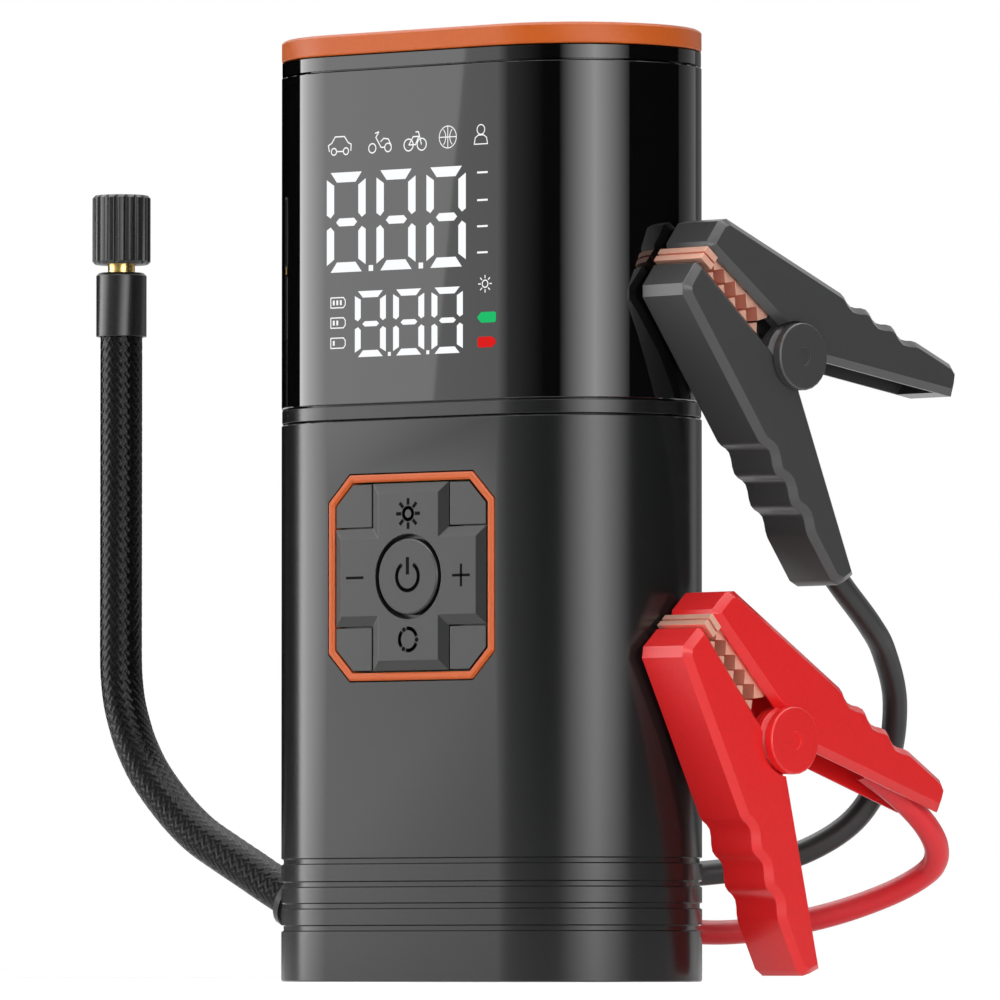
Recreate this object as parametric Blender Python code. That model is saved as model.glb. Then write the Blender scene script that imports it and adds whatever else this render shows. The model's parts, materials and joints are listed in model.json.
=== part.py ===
"""Jump starter pack with a built-in tyre pump, an air hose and two battery clamps on leads.

Metres, +Z up. The origin is the middle of the base, the display and keypad face -Y, the hose leaves
the left end (-X) and the clamp leads leave the back (+Y) and come round to the right end (+X).
"""

import math

import bmesh
import bpy
from mathutils import Matrix, Vector

MM = 0.001

# Clearances
FIT = 0.3 * MM  # between pieces that touch
RUN = 0.35 * MM  # between a pin and the hole that turns on it

# Casing: a tube whose outline is a rectangle with half-round ends
BODY_HEIGHT = 197 * MM
BODY_DEPTH = 52 * MM
FLAT_WIDTH = 46 * MM
WALL = 2.4 * MM
ARC_STEPS = 16
EDGE_ROUND = 0.6 * MM
SEAM_ROUND = 0.25 * MM  # on the edges where casing pieces meet
TOP_CAP_HEIGHT = 4.7 * MM
TRIM_HEIGHT = 2.75 * MM
TRIM_INSET = 0.1 * MM
SPIGOT_REACH = 6 * MM
SPIGOT_WALL = 1.6 * MM
DISPLAY_BASE = 119.4 * MM  # height where the display cover starts
BASE_THICKNESS = 3 * MM
GROOVE_HEIGHTS = (11.1 * MM, 15.7 * MM, 20.2 * MM, 25 * MM)
GROOVE_WIDTH = 0.9 * MM
GROOVE_DEPTH = 0.5 * MM

# Screws that hold the base
POST_INSET = 6.15 * MM  # from the casing's round end to a post's middle
POST_ANGLE = math.radians(49)
POST_RADIUS = 4.6 * MM
POST_TOP = 16 * MM
SCREW_RADIUS = 1.4 * MM
SCREW_HEAD_RADIUS = 2.4 * MM
SCREW_HEAD = 1.6 * MM
SCREW_LENGTH = 12 * MM

# Keypad on the flat front
KEYPAD_DROP = 33 * MM  # from the middle band down to the keypad's centre
KEYPAD_WIDTH = 44.1 * MM
KEYPAD_HEIGHT = 42.7 * MM
KEYPAD_CORNER = 5.7 * MM
BEZEL_WIDTH = 1.6 * MM
BEZEL_PROUD = 0.5 * MM
BEZEL_DEPTH = 3.6 * MM
PLATE_RECESS = 1.8 * MM
PLATE_THICKNESS = 1.6 * MM
CROSS_ARM = 20.2 * MM
CROSS_SLOPE = 2.1 * MM
CROSS_RISE = 0.9 * MM
CROSS_THICKNESS = 2.1 * MM
CROSS_TRAVEL = 0.7 * MM
POWER_RADIUS = 7.9 * MM
POWER_GROOVE = 0.9 * MM
POWER_PROUD = 0.2 * MM
POWER_THICKNESS = 2.0 * MM
POWER_STEM_RADIUS = 2.5 * MM
POWER_STEM_LENGTH = 2.4 * MM
RING_RADIUS = 9.2 * MM
RING_WALL = 2.7 * MM
RING_THICKNESS = 1.7 * MM
BOARD_THICKNESS = 1.6 * MM

# Sockets and lamp, on the back
BACK_COLUMN_X = -10 * MM
USB_A_SIZE = (13.2 * MM, 5.7 * MM)
USB_C_SIZE = (9.0 * MM, 3.3 * MM)
USB_WALL = 0.6 * MM
USB_DEPTH = 9 * MM
USB_A_RISE = 31 * MM  # above the display cover's base
USB_C_RISE = 20 * MM
LAMP_RADIUS = 8 * MM
LAMP_X = 10 * MM
LAMP_DROP = 27 * MM  # below the top

# Battery and boards
CELL_WIDTH = 62 * MM
CELL_THICKNESS = 9.4 * MM
CELL_HEIGHT = 88 * MM
CELL_COUNT = 3
CELL_FRONT = -13 * MM
MAIN_BOARD_WIDTH = 58 * MM
MAIN_BOARD_HEIGHT = 52 * MM
MAIN_BOARD_FRONT = -16.9 * MM
DISPLAY_BOARD_WIDTH = 44 * MM

# Pump: the crank turns about Y and the piston slides along X
MOTOR_X = 22 * MM
MOTOR_RADIUS = 13 * MM
MOTOR_FRONT = -2 * MM
MOTOR_LENGTH = 21.5 * MM
CRANK_RADIUS = 8 * MM
CRANK_THICKNESS = 3 * MM
CRANK_THROW = 4 * MM
CRANK_PIN_RADIUS = 1.6 * MM
SHAFT_RADIUS = 1.5 * MM
SHAFT_LENGTH = 6 * MM
ROD_LENGTH = 26 * MM
ROD_THICKNESS = 3.6 * MM
ROD_EYE_RADIUS = 3.7 * MM
ROD_TIP_RADIUS = 1.9 * MM
PISTON_RADIUS = 8.2 * MM
PISTON_WALL = 1.5 * MM
PISTON_CROWN = 2.8 * MM
PISTON_SKIRT = 2.5 * MM  # how far the skirt runs back past the rod's tip, towards the crank
PISTON_ROOM = 8.8 * MM  # from the rod's tip to the crown, for the whole stroke
CYLINDER_WALL = 1.0 * MM
CYLINDER_SKIRT = 7 * MM
CYLINDER_HEAD = 8 * MM
HEAD_ROOM = 0.8 * MM
PUMP_FRAME_THICKNESS = 3 * MM
PUMP_FRAME_MARGIN = 5 * MM  # above the motor
PUMP_FRAME_GAP = 1 * MM
AIR_TUBE_DIAMETER = 5 * MM
AIR_TUBE_GAP = 1.1 * MM  # beside the battery
AIR_BEND = (3 * MM, 24 * MM)  # of the bend below the pump's port, aside and down
AIR_DROPS = (12 * MM, 5 * MM, -3 * MM)  # of the straight end into the port

# Air hose and its screw-on chuck
HOSE_DIAMETER = 9 * MM
HOSE_EXIT_Z = 15.2 * MM
HOSE_EXIT_RISE = math.radians(27)
GLAND_NECK_RADIUS = 5.4 * MM
GLAND_COLLAR_RADIUS = 6.1 * MM
GLAND_COLLAR = (3.5 * MM, 5.5 * MM)  # along the hose from the end of the casing
GLAND_NUT = (-13.5 * MM, -6.3 * MM)
GLAND_BORE_END = -7 * MM
FERRULE_BASE = 137.8 * MM
FERRULE_LENGTH = 13.7 * MM
FERRULE_RADIUS = 5.4 * MM
FERRULE_FACETS = 12
FERRULE_GRIP = 4 * MM
CHUCK_BASE = 153.3 * MM
CHUCK_LENGTH = 14.8 * MM
CHUCK_RADIUS = 6.25 * MM
CHUCK_FLUTES = 18
CHUCK_FLUTE_DEPTH = 0.45 * MM
CHUCK_BORE_RADIUS = 3.95 * MM
CHUCK_LIP = 1.6 * MM
STEM_RADIUS = 2.9 * MM
STEM_BORE_RADIUS = 1.3 * MM
STEM_FLANGE_RADIUS = 3.6 * MM
STEM_FLANGE = 1.2 * MM
SEAL_THICKNESS = 2.0 * MM

# Leads: where each leaves the back, across and up
LEAD_DIAMETER = 5.2 * MM
LEAD_NECK_RADIUS = 4.2 * MM
LEAD_COLLAR_RADIUS = 5.4 * MM
LEAD_COLLAR_LENGTH = 7 * MM
LEAD_TIP_RADIUS = 3.7 * MM
LEAD_NUT = 2.6 * MM
LEAD_INSIDE = 7.5 * MM
LEAD_EXITS = {"black": (20 * MM, 22.5 * MM), "red": (4 * MM, 15 * MM)}

# Clamps. In the plane of a clamp, s runs from the pivot to the grips and q to one side of it
CLAMP_YAW = math.radians(83)  # the clamps' plane, turned from +X about Z
CLAMP_GAP = 0.57 * MM  # between the casing's end and the clamps
CLAMP_THICKNESS = 14.5 * MM
CLAMP_CHAMFER = 1.4 * MM
CHANNEL_HALF = 5.3 * MM
INNER_CHEEK_HALF = 5.0 * MM
INNER_CHANNEL_HALF = 3.4 * MM
INNER_CHANNEL_REACH = 9.3 * MM
NOSE_S = -33.5 * MM
NOSE_INNER_Q = 1.9 * MM
NOSE_OUTER_Q = 9.8 * MM
NOSE_ROUND = 1.5 * MM
NOSE_WALL = 3 * MM
GRIP_END_S = 40.5 * MM
GRIP_END_INNER_Q = 24 * MM
GRIP_END_WALL = 3 * MM
OUTER_SLOPE = 0.2736
LOBE_RADIUS = 7 * MM
LOBE_ANGLES = (35.5, -204.0)
LOBE_STEPS = 14
LOBE_BITE = 7.4 * MM
CHANNEL_WALL = 3.2 * MM
SCALLOP_START = 3 * MM
SCALLOP_LENGTH = 7.8 * MM
SCALLOP_COUNT = 3
SCALLOP_STEPS = 6
SCALLOP_DEPTH = 1.4 * MM
RIVET_RADIUS = 2.2 * MM
RIVET_HEAD_RADIUS = 7 * MM
RIVET_HEAD = 2.0 * MM
DIMPLE_RADIUS = 1.9 * MM
DIMPLE_DEPTH = 0.4 * MM
JAW_HALF_WIDTH = 4.9 * MM
JAW_START = -29.9 * MM
JAW_END = -9.8 * MM
JAW_BACK_Q = 5.0 * MM
JAW_TIP_Q = 0.25 * MM
JAW_VALLEY_Q = 2.4 * MM
JAW_TEETH = 5
NOSE_PAD_S = -33.4 * MM
NOSE_PAD_Q = 1.6 * MM
NOSE_PAD_HALF_WIDTH = 6.9 * MM
SPRING_WIRE = 1.1 * MM
SPRING_RADIUS = 4.2 * MM
SPRING_HALF_LENGTH = 2.4 * MM
SPRING_LEG = 16 * MM
SPRING_LEG_ANGLE = 62
SPRING_TURNS = 2

# name: (pivot along the clamps' plane, pivot height, angle of s, side of the half that holds the lead)
CLAMPS = {
    "black": (25.9 * MM, 128.7 * MM, math.radians(-37.9), -1),
    "red": (23.3 * MM, 49.6 * MM, math.radians(-47.4), 1),
}

# Routes of the flexible lines, chosen by hand, in millimetres
HOSE_ROUTE = (
    (-60, 0, 20.8),
    (-65.5, 0, 23.7),
    (-71.1, 0, 26.6),
    (-76.6, 0, 29.5),
    (-79.5, 0, 31.2),
    (-82.3, 0, 33.2),
    (-85.1, 0, 35.5),
    (-88, 0, 38.2),
    (-91, 0, 41.3),
    (-93.7, 0, 44.5),
    (-95.9, 0, 47.8),
    (-97.9, 0, 51.5),
    (-99.4, 0, 55.3),
    (-100.6, 0, 59.2),
    (-101.3, 0, 63.2),
    (-101.65, 0, 67.5),
    (-101.7, 0, 75),
    (-101.7, 0, 88),
    (-101.7, 0, 102),
    (-101.7, 0, 116),
    (-101.7, 0, 128),
)
LEAD_ROUTES = {
    "black": (
        (20.5, 38, 22.5),
        (23, 44, 22.8),
        (28.7, 50.3, 24),
        (38.9, 57.8, 27.6),
        (47.9, 63.2, 34.7),
        (54, 65.5, 46.1),
        (57.6, 63.4, 58.6),
        (60, 56.5, 68.7),
        (61.6, 49.3, 74.4),
    ),
    "red": (
        (6.5, 37.5, 13.6),
        (11.2, 43, 11.6),
        (17.6, 48.9, 10.4),
        (24.6, 54.4, 10.6),
        (31.5, 60.2, 12),
        (39.2, 64.6, 14),
        (46, 68.2, 16.4),
        (53, 71, 19.4),
        (58.6, 72.4, 22.6),
        (62.1, 71.4, 25.2),
        (64.2, 68.9, 28.4),
    ),
}
LEAD_IN_CLAMP = ((46, 24.2), (40, 23.4), (33, 21.5), (24, 18.2))  # s and q of the lead's end
AIR_HEIGHTS = (32, 45, 65, 90, 104)  # of the air tube beside the battery

HALF_DEPTH = BODY_DEPTH / 2
HALF_FLAT = FLAT_WIDTH / 2
HALF_WIDTH = HALF_FLAT + HALF_DEPTH
POST_X = HALF_FLAT + (HALF_DEPTH - POST_INSET) * math.cos(POST_ANGLE)
POST_Y = (HALF_DEPTH - POST_INSET) * math.sin(POST_ANGLE)
TRIM_BASE = DISPLAY_BASE - TRIM_HEIGHT
KEYPAD_CENTRE_Z = TRIM_BASE - KEYPAD_DROP
TOP_CAP_BASE = BODY_HEIGHT - TOP_CAP_HEIGHT
TOP_TRIM_BASE = TOP_CAP_BASE - TRIM_HEIGHT
SPIGOT_INSET = WALL + FIT
ROOM_BASE = DISPLAY_BASE + SPIGOT_REACH + FIT  # of the space between the bands
ROOM_TOP = TOP_TRIM_BASE - SPIGOT_REACH - FIT
PUMP_HEIGHT = (ROOM_BASE + ROOM_TOP) / 2
PUMP_FRAME_TOP = PUMP_HEIGHT + MOTOR_RADIUS + PUMP_FRAME_MARGIN
LAMP_PLACE = (LAMP_X, HALF_DEPTH, BODY_HEIGHT - LAMP_DROP)
PLATE_FRONT = HALF_DEPTH - PLATE_RECESS
CROSS_BACK = PLATE_FRONT + CROSS_TRAVEL
CROSS_FRONT = CROSS_BACK + CROSS_THICKNESS
POWER_FRONT = CROSS_FRONT + POWER_PROUD
POWER_BACK = POWER_FRONT - POWER_THICKNESS
RING_FRONT = CROSS_BACK - FIT
KEY_BOARD_FRONT = PLATE_FRONT - PLATE_THICKNESS - FIT
HALF_CLAMP = CLAMP_THICKNESS / 2
CLAMP_FACE = HALF_FLAT * math.sin(CLAMP_YAW) + HALF_DEPTH + CLAMP_GAP
CRANK_BACK = MOTOR_FRONT - FIT
CRANK_FRONT = CRANK_BACK - CRANK_THICKNESS
ROD_Y = CRANK_FRONT - FIT - ROD_THICKNESS / 2
PIN_X = MOTOR_X - CRANK_THROW
ROD_TIP_X = PIN_X - ROD_LENGTH - ROD_TIP_RADIUS
CROWN_X = ROD_TIP_X - PISTON_ROOM
HEAD_X = CROWN_X - PISTON_CROWN - HEAD_ROOM
CYLINDER_RADIUS = PISTON_RADIUS + FIT + CYLINDER_WALL
PORT_X = HEAD_X - CYLINDER_HEAD / 2
AIR_PORT_RADIUS = AIR_TUBE_DIAMETER / 2 + FIT


def clear_scene():
    for obj in list(bpy.data.objects):
        bpy.data.objects.remove(obj, do_unlink=True)


def material(name, colour, roughness=0.5, metallic=0.0):
    made = bpy.data.materials.get(name) or bpy.data.materials.new(name)
    made.use_nodes = True
    shader = made.node_tree.nodes["Principled BSDF"]
    shader.inputs["Base Color"].default_value = (*colour, 1)
    shader.inputs["Roughness"].default_value = roughness
    shader.inputs["Metallic"].default_value = metallic
    return made


def grey_plastic():
    return material("grey_plastic", (0.105, 0.107, 0.106), 0.42)


def gloss_black():
    return material("gloss_black", (0.012, 0.012, 0.013), 0.08)


def dark_plastic():
    return material("dark_plastic", (0.03, 0.03, 0.032), 0.45)


def hose_braid():
    return material("hose_braid", (0.02, 0.02, 0.021), 0.6)


def orange_plastic():
    return material("orange_plastic", (0.68, 0.16, 0.035), 0.45)


def clear_plastic():
    return material("clear_plastic", (0.8, 0.82, 0.84), 0.1)


def clamp_plastic(name):
    colours = {"black": (0.045, 0.045, 0.047), "red": (0.68, 0.025, 0.025)}
    return material(f"{name}_clamp_plastic", colours[name], 0.4)


def lead_rubber(name):
    colours = {"black": (0.02, 0.02, 0.021), "red": (0.45, 0.03, 0.035)}
    return material(f"{name}_lead_rubber", colours[name], 0.55)


def copper():
    return material("copper", (0.83, 0.42, 0.3), 0.3, 1.0)


def brass():
    return material("brass", (0.7, 0.52, 0.2), 0.3, 1.0)


def steel():
    return material("steel", (0.55, 0.55, 0.56), 0.35, 1.0)


def board_green():
    return material("board_green", (0.03, 0.16, 0.07), 0.5)


def cell_foil():
    return material("cell_foil", (0.35, 0.36, 0.4), 0.4, 0.6)


def link(obj, made_of, parent=None):
    bpy.context.scene.collection.objects.link(obj)
    obj.data.materials.append(made_of)
    if parent is not None:
        obj.parent = parent
    return obj


def solid(name, vertices, faces, made_of, parent=None):
    """A mesh object with its faces turned outwards."""
    mesh = bpy.data.meshes.new(name)
    mesh.from_pydata([tuple(v) for v in vertices], [], faces)
    work = bmesh.new()
    work.from_mesh(mesh)
    bmesh.ops.recalc_face_normals(work, faces=work.faces)
    work.to_mesh(mesh)
    work.free()
    return link(bpy.data.objects.new(name, mesh), made_of, parent)


def stacked(name, rings, made_of, parent=None, closed=False):
    """Skins a list of rings with equally many points. closed joins the last ring to the first."""
    count = len(rings[0])
    vertices = [p for ring in rings for p in ring]
    faces = []
    for level in range(len(rings) if closed else len(rings) - 1):
        low = level * count
        high = (level + 1) % len(rings) * count
        for i in range(count):
            j = (i + 1) % count
            faces.append((low + i, low + j, high + j, high + i))
    if not closed:
        faces.append(tuple(range(count)))
        faces.append(tuple(range(len(vertices) - count, len(vertices))))
    return solid(name, vertices, faces, made_of, parent)


def stadium(inset, height):
    """The casing's outline, moved inwards, at a height."""
    radius = HALF_DEPTH - inset
    ring = []
    for side in (1, -1):
        for step in range(ARC_STEPS + 1):
            angle = math.pi * (step / ARC_STEPS - 0.5)
            x = side * (HALF_FLAT + radius * math.cos(angle))
            ring.append((x, side * radius * math.sin(angle), height))
    return ring


def casing_piece(name, profile, made_of, closed=True):
    """Sweeps a profile of (inset, height) points around the casing's outline."""
    return stacked(name, [stadium(*p) for p in profile], made_of, closed=closed)


def circle(radius, steps):
    angles = [2 * math.pi * i / steps for i in range(steps)]
    return [(radius * math.cos(a), radius * math.sin(a)) for a in angles]


def turned(name, profile, made_of, parent=None, steps=24, closed=False):
    """Turns (radius, height) points about the local Z axis. closed makes a ring with a hole."""
    rings = [[(x, y, height) for x, y in circle(radius, steps)] for radius, height in profile]
    return stacked(name, rings, made_of, parent, closed)


def plate(name, outline, low, high, made_of, parent=None):
    """Extrudes an outline of (x, y) points along the local Z axis."""
    rings = [[(x, y, z) for x, y in outline] for z in (low, high)]
    return stacked(name, rings, made_of, parent)


def box(name, low, high, made_of, parent=None):
    outline = [(low[0], low[1]), (high[0], low[1]), (high[0], high[1]), (low[0], high[1])]
    return plate(name, outline, low[2], high[2], made_of, parent)


def boolean(target, tool, operation="DIFFERENCE"):
    modifier = target.modifiers.new(tool.name, "BOOLEAN")
    modifier.operation = operation
    modifier.solver = "EXACT"
    modifier.object = tool
    tool.hide_render = True
    tool.display_type = "WIRE"


def drill(target, name, place, direction, radius, low, high, steps=24):
    """Cuts a round hole along a direction, from low to high past the place."""
    tool = turned(name, [(radius, low), (radius, high)], dark_plastic(), steps=steps)
    tool.matrix_world = Matrix.Translation(place) @ facing(direction).to_4x4()
    boolean(target, tool)


def facing(direction):
    """The rotation that turns +Z to a direction."""
    return Vector(direction).to_track_quat("Z", "Y").to_matrix()


def empty(name, place, rotation=None):
    made = bpy.data.objects.new(name, None)
    bpy.context.scene.collection.objects.link(made)
    turn = (rotation or Matrix.Identity(3)).to_4x4()
    made.matrix_world = Matrix.Translation(place) @ turn
    return made


def smooth_line(points, step):
    """Points about step apart along a smooth curve through the given ones."""
    ends = [2 * points[0] - points[1], *points, 2 * points[-1] - points[-2]]
    line = []
    for before, start, end, after in zip(ends, ends[1:], ends[2:], ends[3:]):
        count = max(1, round((end - start).length / step))
        for k in range(count):
            t = k / count
            curve = 2 * start + (end - before) * t
            curve += (2 * before - 5 * start + 4 * end - after) * t**2
            curve += (3 * start - 3 * end + after - before) * t**3
            line.append(curve / 2)
    return [*line, points[-1]]


def tube(name, points, diameter, made_of, parent=None, sides=2):
    curve = bpy.data.curves.new(name, "CURVE")
    curve.dimensions = "3D"
    curve.bevel_depth = diameter / 2
    curve.bevel_resolution = sides
    curve.use_fill_caps = True
    spline = curve.splines.new("POLY")
    spline.points.add(len(points) - 1)
    for point, place in zip(spline.points, points):
        point.co = (*place, 1)
    return link(bpy.data.objects.new(name, curve), made_of, parent)


def metres(route):
    return [Vector(p) * MM for p in route]


# Casing


def shell_profile(low, high, grooves=()):
    outer = [(SEAM_ROUND, low), (0, low + SEAM_ROUND)]
    for z in grooves:
        half = GROOVE_WIDTH / 2
        flare = half + GROOVE_DEPTH / 2
        outer += [(0, z - flare), (GROOVE_DEPTH, z - half), (GROOVE_DEPTH, z + half), (0, z + flare)]
    outer += [(0, high - SEAM_ROUND), (SEAM_ROUND, high)]
    return [*outer, (WALL, high), (WALL, low)]


def trim_profile(low, high, reach_down, reach_up):
    """A band between two shells, with a spigot into each."""
    inner = SPIGOT_INSET + SPIGOT_WALL
    return [
        (TRIM_INSET, low),
        (TRIM_INSET, high),
        (SPIGOT_INSET, high),
        (SPIGOT_INSET, high + reach_up),
        (inner, high + reach_up),
        (inner, low - reach_down),
        (SPIGOT_INSET, low - reach_down),
        (SPIGOT_INSET, low),
    ]


def post_places():
    return [(x, y) for x in (-POST_X, POST_X) for y in (-POST_Y, POST_Y)]


def lower_shell():
    shell = casing_piece("lower_shell", shell_profile(0, TRIM_BASE - FIT, GROOVE_HEIGHTS), grey_plastic())
    for i, (x, y) in enumerate(post_places()):
        profile = [(POST_RADIUS, BASE_THICKNESS + FIT), (POST_RADIUS, POST_TOP)]
        post = turned(f"post_{i}", profile, grey_plastic(), steps=16)
        post.location = (x, y, 0)
        boolean(shell, post, "UNION")
        drill(shell, f"post_hole_{i}", (x, y, 0), (0, 0, 1), SCREW_RADIUS + FIT, 0, SCREW_LENGTH + FIT, 12)
    front = empty("opening_frame", (0, 0, KEYPAD_CENTRE_Z), facing((0, -1, 0)))
    opening = octagon(KEYPAD_WIDTH / 2 + FIT, KEYPAD_HEIGHT / 2 + FIT, KEYPAD_CORNER + FIT / 2)
    cutter = plate("keypad_opening", opening, HALF_DEPTH - 3 * WALL, HALF_DEPTH + WALL, dark_plastic(), front)
    boolean(shell, cutter)
    for name, (x, z) in LEAD_EXITS.items():
        place = (x, HALF_DEPTH, z)
        drill(shell, f"{name}_lead_hole", place, (0, 1, 0), LEAD_NECK_RADIUS + FIT, -3 * WALL, WALL)
    drill(shell, "hose_hole", hose_exit(), hose_direction(), GLAND_NECK_RADIUS + FIT, -8 * MM, 8 * MM)


def base_cap():
    profile = [(SPIGOT_INSET, 0), (SPIGOT_INSET, BASE_THICKNESS)]
    cap = casing_piece("base_cap", profile, grey_plastic(), closed=False)
    seat = SCREW_HEAD + 2 * FIT
    for i, (x, y) in enumerate(post_places()):
        profile = [
            (SCREW_HEAD_RADIUS + FIT, -MM),
            (SCREW_HEAD_RADIUS + FIT, seat),
            (SCREW_RADIUS + FIT, seat),
            (SCREW_RADIUS + FIT, BASE_THICKNESS + MM),
        ]
        hole = turned(f"base_hole_{i}", profile, dark_plastic(), steps=16)
        hole.location = (x, y, 0)
        boolean(cap, hole)


def base_screws():
    for i, (x, y) in enumerate(post_places()):
        top = FIT + SCREW_HEAD
        profile = [
            (SCREW_HEAD_RADIUS, FIT),
            (SCREW_HEAD_RADIUS, top),
            (SCREW_RADIUS, top),
            (SCREW_RADIUS, SCREW_LENGTH),
        ]
        screw = turned(f"base_screw_{i + 1}", profile, steel(), steps=16)
        screw.location = (x, y, 0)


def bands_and_top():
    profile = trim_profile(TRIM_BASE, DISPLAY_BASE, SPIGOT_REACH, SPIGOT_REACH)
    casing_piece("mid_band", profile, grey_plastic())
    top_reach = TOP_CAP_HEIGHT - WALL - FIT
    profile = trim_profile(TOP_TRIM_BASE, TOP_CAP_BASE, SPIGOT_REACH, top_reach)
    casing_piece("top_ring", profile, gloss_black())
    low = TOP_CAP_BASE + FIT
    profile = [
        (EDGE_ROUND, BODY_HEIGHT),
        (0, BODY_HEIGHT - EDGE_ROUND),
        (0, low + SEAM_ROUND),
        (SEAM_ROUND, low),
        (WALL, low),
        (WALL, BODY_HEIGHT - WALL),
    ]
    casing_piece("top_cap", profile, orange_plastic(), closed=False)


def upper_shell():
    profile = shell_profile(DISPLAY_BASE + FIT, TOP_TRIM_BASE - FIT)
    shell = casing_piece("upper_shell", profile, gloss_black())
    for name, size, height in usb_sockets():
        half = (size[0] / 2 + FIT, WALL * 3, size[1] / 2 + FIT)
        cutter = box(f"{name}_hole", [-h for h in half], half, dark_plastic())
        cutter.location = (BACK_COLUMN_X, HALF_DEPTH, height)
        boolean(shell, cutter)
    drill(shell, "lamp_hole", LAMP_PLACE, (0, 1, 0), LAMP_RADIUS + FIT, -3 * WALL, WALL, 32)


def usb_sockets():
    rises = (("usb_a_socket", USB_A_SIZE, USB_A_RISE), ("usb_c_socket", USB_C_SIZE, USB_C_RISE))
    return [(name, size, DISPLAY_BASE + rise) for name, size, rise in rises]


def back_fittings():
    for name, (width, height), z in usb_sockets():
        x, y = width / 2, height / 2
        socket = box(name, (-x, -USB_DEPTH, -y), (x, -FIT, y), steel())
        socket.location = (BACK_COLUMN_X, HALF_DEPTH, z)
        half = (x - USB_WALL, y - USB_WALL)
        room = box(
            f"{name}_room", (-half[0], USB_WALL - USB_DEPTH, -half[1]), (half[0], MM, half[1]), steel()
        )
        room.location = socket.location
        boolean(socket, room)
    lens = [(LAMP_RADIUS, -WALL), (LAMP_RADIUS, -EDGE_ROUND), (LAMP_RADIUS - EDGE_ROUND, 0)]
    frame = empty("lamp_frame", LAMP_PLACE, facing((0, 1, 0)))
    turned("lamp_lens", lens, clear_plastic(), frame)


# Keypad, in a frame whose Z faces the user


def octagon(half_width, half_height, corner):
    x, y = half_width - corner, half_height - corner
    return [
        (x, -half_height),
        (half_width, -y),
        (half_width, y),
        (x, half_height),
        (-x, half_height),
        (-half_width, y),
        (-half_width, -y),
        (-x, -half_height),
    ]


def keypad_octagon(inset):
    return octagon(KEYPAD_WIDTH / 2 - inset, KEYPAD_HEIGHT / 2 - inset, KEYPAD_CORNER - 0.59 * inset)


def keypad_bezel(frame):
    low, high = HALF_DEPTH - BEZEL_DEPTH, HALF_DEPTH + BEZEL_PROUD
    bevel = BEZEL_WIDTH / 4
    steps = [
        (0, low),
        (0, high - bevel),
        (bevel, high),
        (BEZEL_WIDTH - bevel, high),
        (BEZEL_WIDTH, high - bevel),
        (BEZEL_WIDTH, low),
    ]
    rings = [[(x, y, z) for x, y in keypad_octagon(inset)] for inset, z in steps]
    stacked("keypad_bezel", rings, orange_plastic(), frame, closed=True)


def key_corner():
    """The raised corner of the plate beside two arms of the cross."""
    inner = CROSS_ARM / 2 + RUN
    outer = keypad_octagon(BEZEL_WIDTH + 1.5 * FIT)
    x, y = outer[2][0], outer[3][1]
    return [(inner, inner), (x, inner), outer[2], outer[3], (inner, y)]


def keypad_plate(frame):
    low = PLATE_FRONT - PLATE_THICKNESS
    made = plate("keypad_plate", keypad_octagon(BEZEL_WIDTH + FIT), low, PLATE_FRONT, grey_plastic(), frame)
    for x_sign in (-1, 1):
        for y_sign in (-1, 1):
            outline = [(x_sign * x, y_sign * y) for x, y in key_corner()]
            name = f"key_corner_{x_sign}_{y_sign}"
            block = plate(name, outline, low + MM, CROSS_FRONT - CROSS_RISE, grey_plastic(), frame)
            boolean(made, block, "UNION")
    place = (0, 0, KEYPAD_CENTRE_Z)
    drill(made, "plate_hole", place, (0, -1, 0), RING_RADIUS + FIT, low - MM, PLATE_FRONT + MM)


def key_pivot_ring(frame):
    low = RING_FRONT - RING_THICKNESS
    inner = RING_RADIUS - RING_WALL
    profile = [(inner, low), (RING_RADIUS, low), (RING_RADIUS, RING_FRONT), (inner, RING_FRONT)]
    turned("key_pivot_ring", profile, dark_plastic(), frame, closed=True)


def cross_outline(inset):
    arm = CROSS_ARM / 2 - inset
    clear = BEZEL_WIDTH + RUN + inset
    x, y = KEYPAD_WIDTH / 2 - clear, KEYPAD_HEIGHT / 2 - clear
    quarter = [(x, -arm), (x, arm), (arm, arm), (arm, y)]
    outline = quarter + [(-px, py) for px, py in reversed(quarter)]
    return outline[:-1] + [(-x, -arm), (-arm, -arm), (-arm, -y), (arm, -y), (arm, -arm)]


def cross_key(frame):
    steps = [(0, CROSS_BACK), (0, CROSS_FRONT - CROSS_RISE), (CROSS_SLOPE, CROSS_FRONT)]
    rings = [[(x, y, z) for x, y in cross_outline(inset)] for inset, z in steps]
    key = stacked("cross_key", rings, grey_plastic(), frame)
    hole = POWER_RADIUS + POWER_GROOVE
    place = (0, 0, KEYPAD_CENTRE_Z)
    drill(key, "cross_hole", place, (0, -1, 0), hole, CROSS_BACK - MM, CROSS_FRONT + MM, 40)


def power_button(frame):
    bevel = EDGE_ROUND / 2
    profile = [
        (POWER_STEM_RADIUS, POWER_BACK - POWER_STEM_LENGTH),
        (POWER_STEM_RADIUS, POWER_BACK),
        (POWER_RADIUS, POWER_BACK),
        (POWER_RADIUS, POWER_FRONT - bevel),
        (POWER_RADIUS - bevel, POWER_FRONT),
    ]
    turned("power_button", profile, grey_plastic(), frame, steps=40)


def keypad():
    frame = empty("keypad_frame", (0, 0, KEYPAD_CENTRE_Z), facing((0, -1, 0)))
    keypad_bezel(frame)
    keypad_plate(frame)
    key_pivot_ring(frame)
    cross_key(frame)
    power_button(frame)
    low = KEY_BOARD_FRONT - BOARD_THICKNESS
    plate("key_board", keypad_octagon(BEZEL_WIDTH), low, KEY_BOARD_FRONT, board_green(), frame)


# Battery, boards and pump


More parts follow.
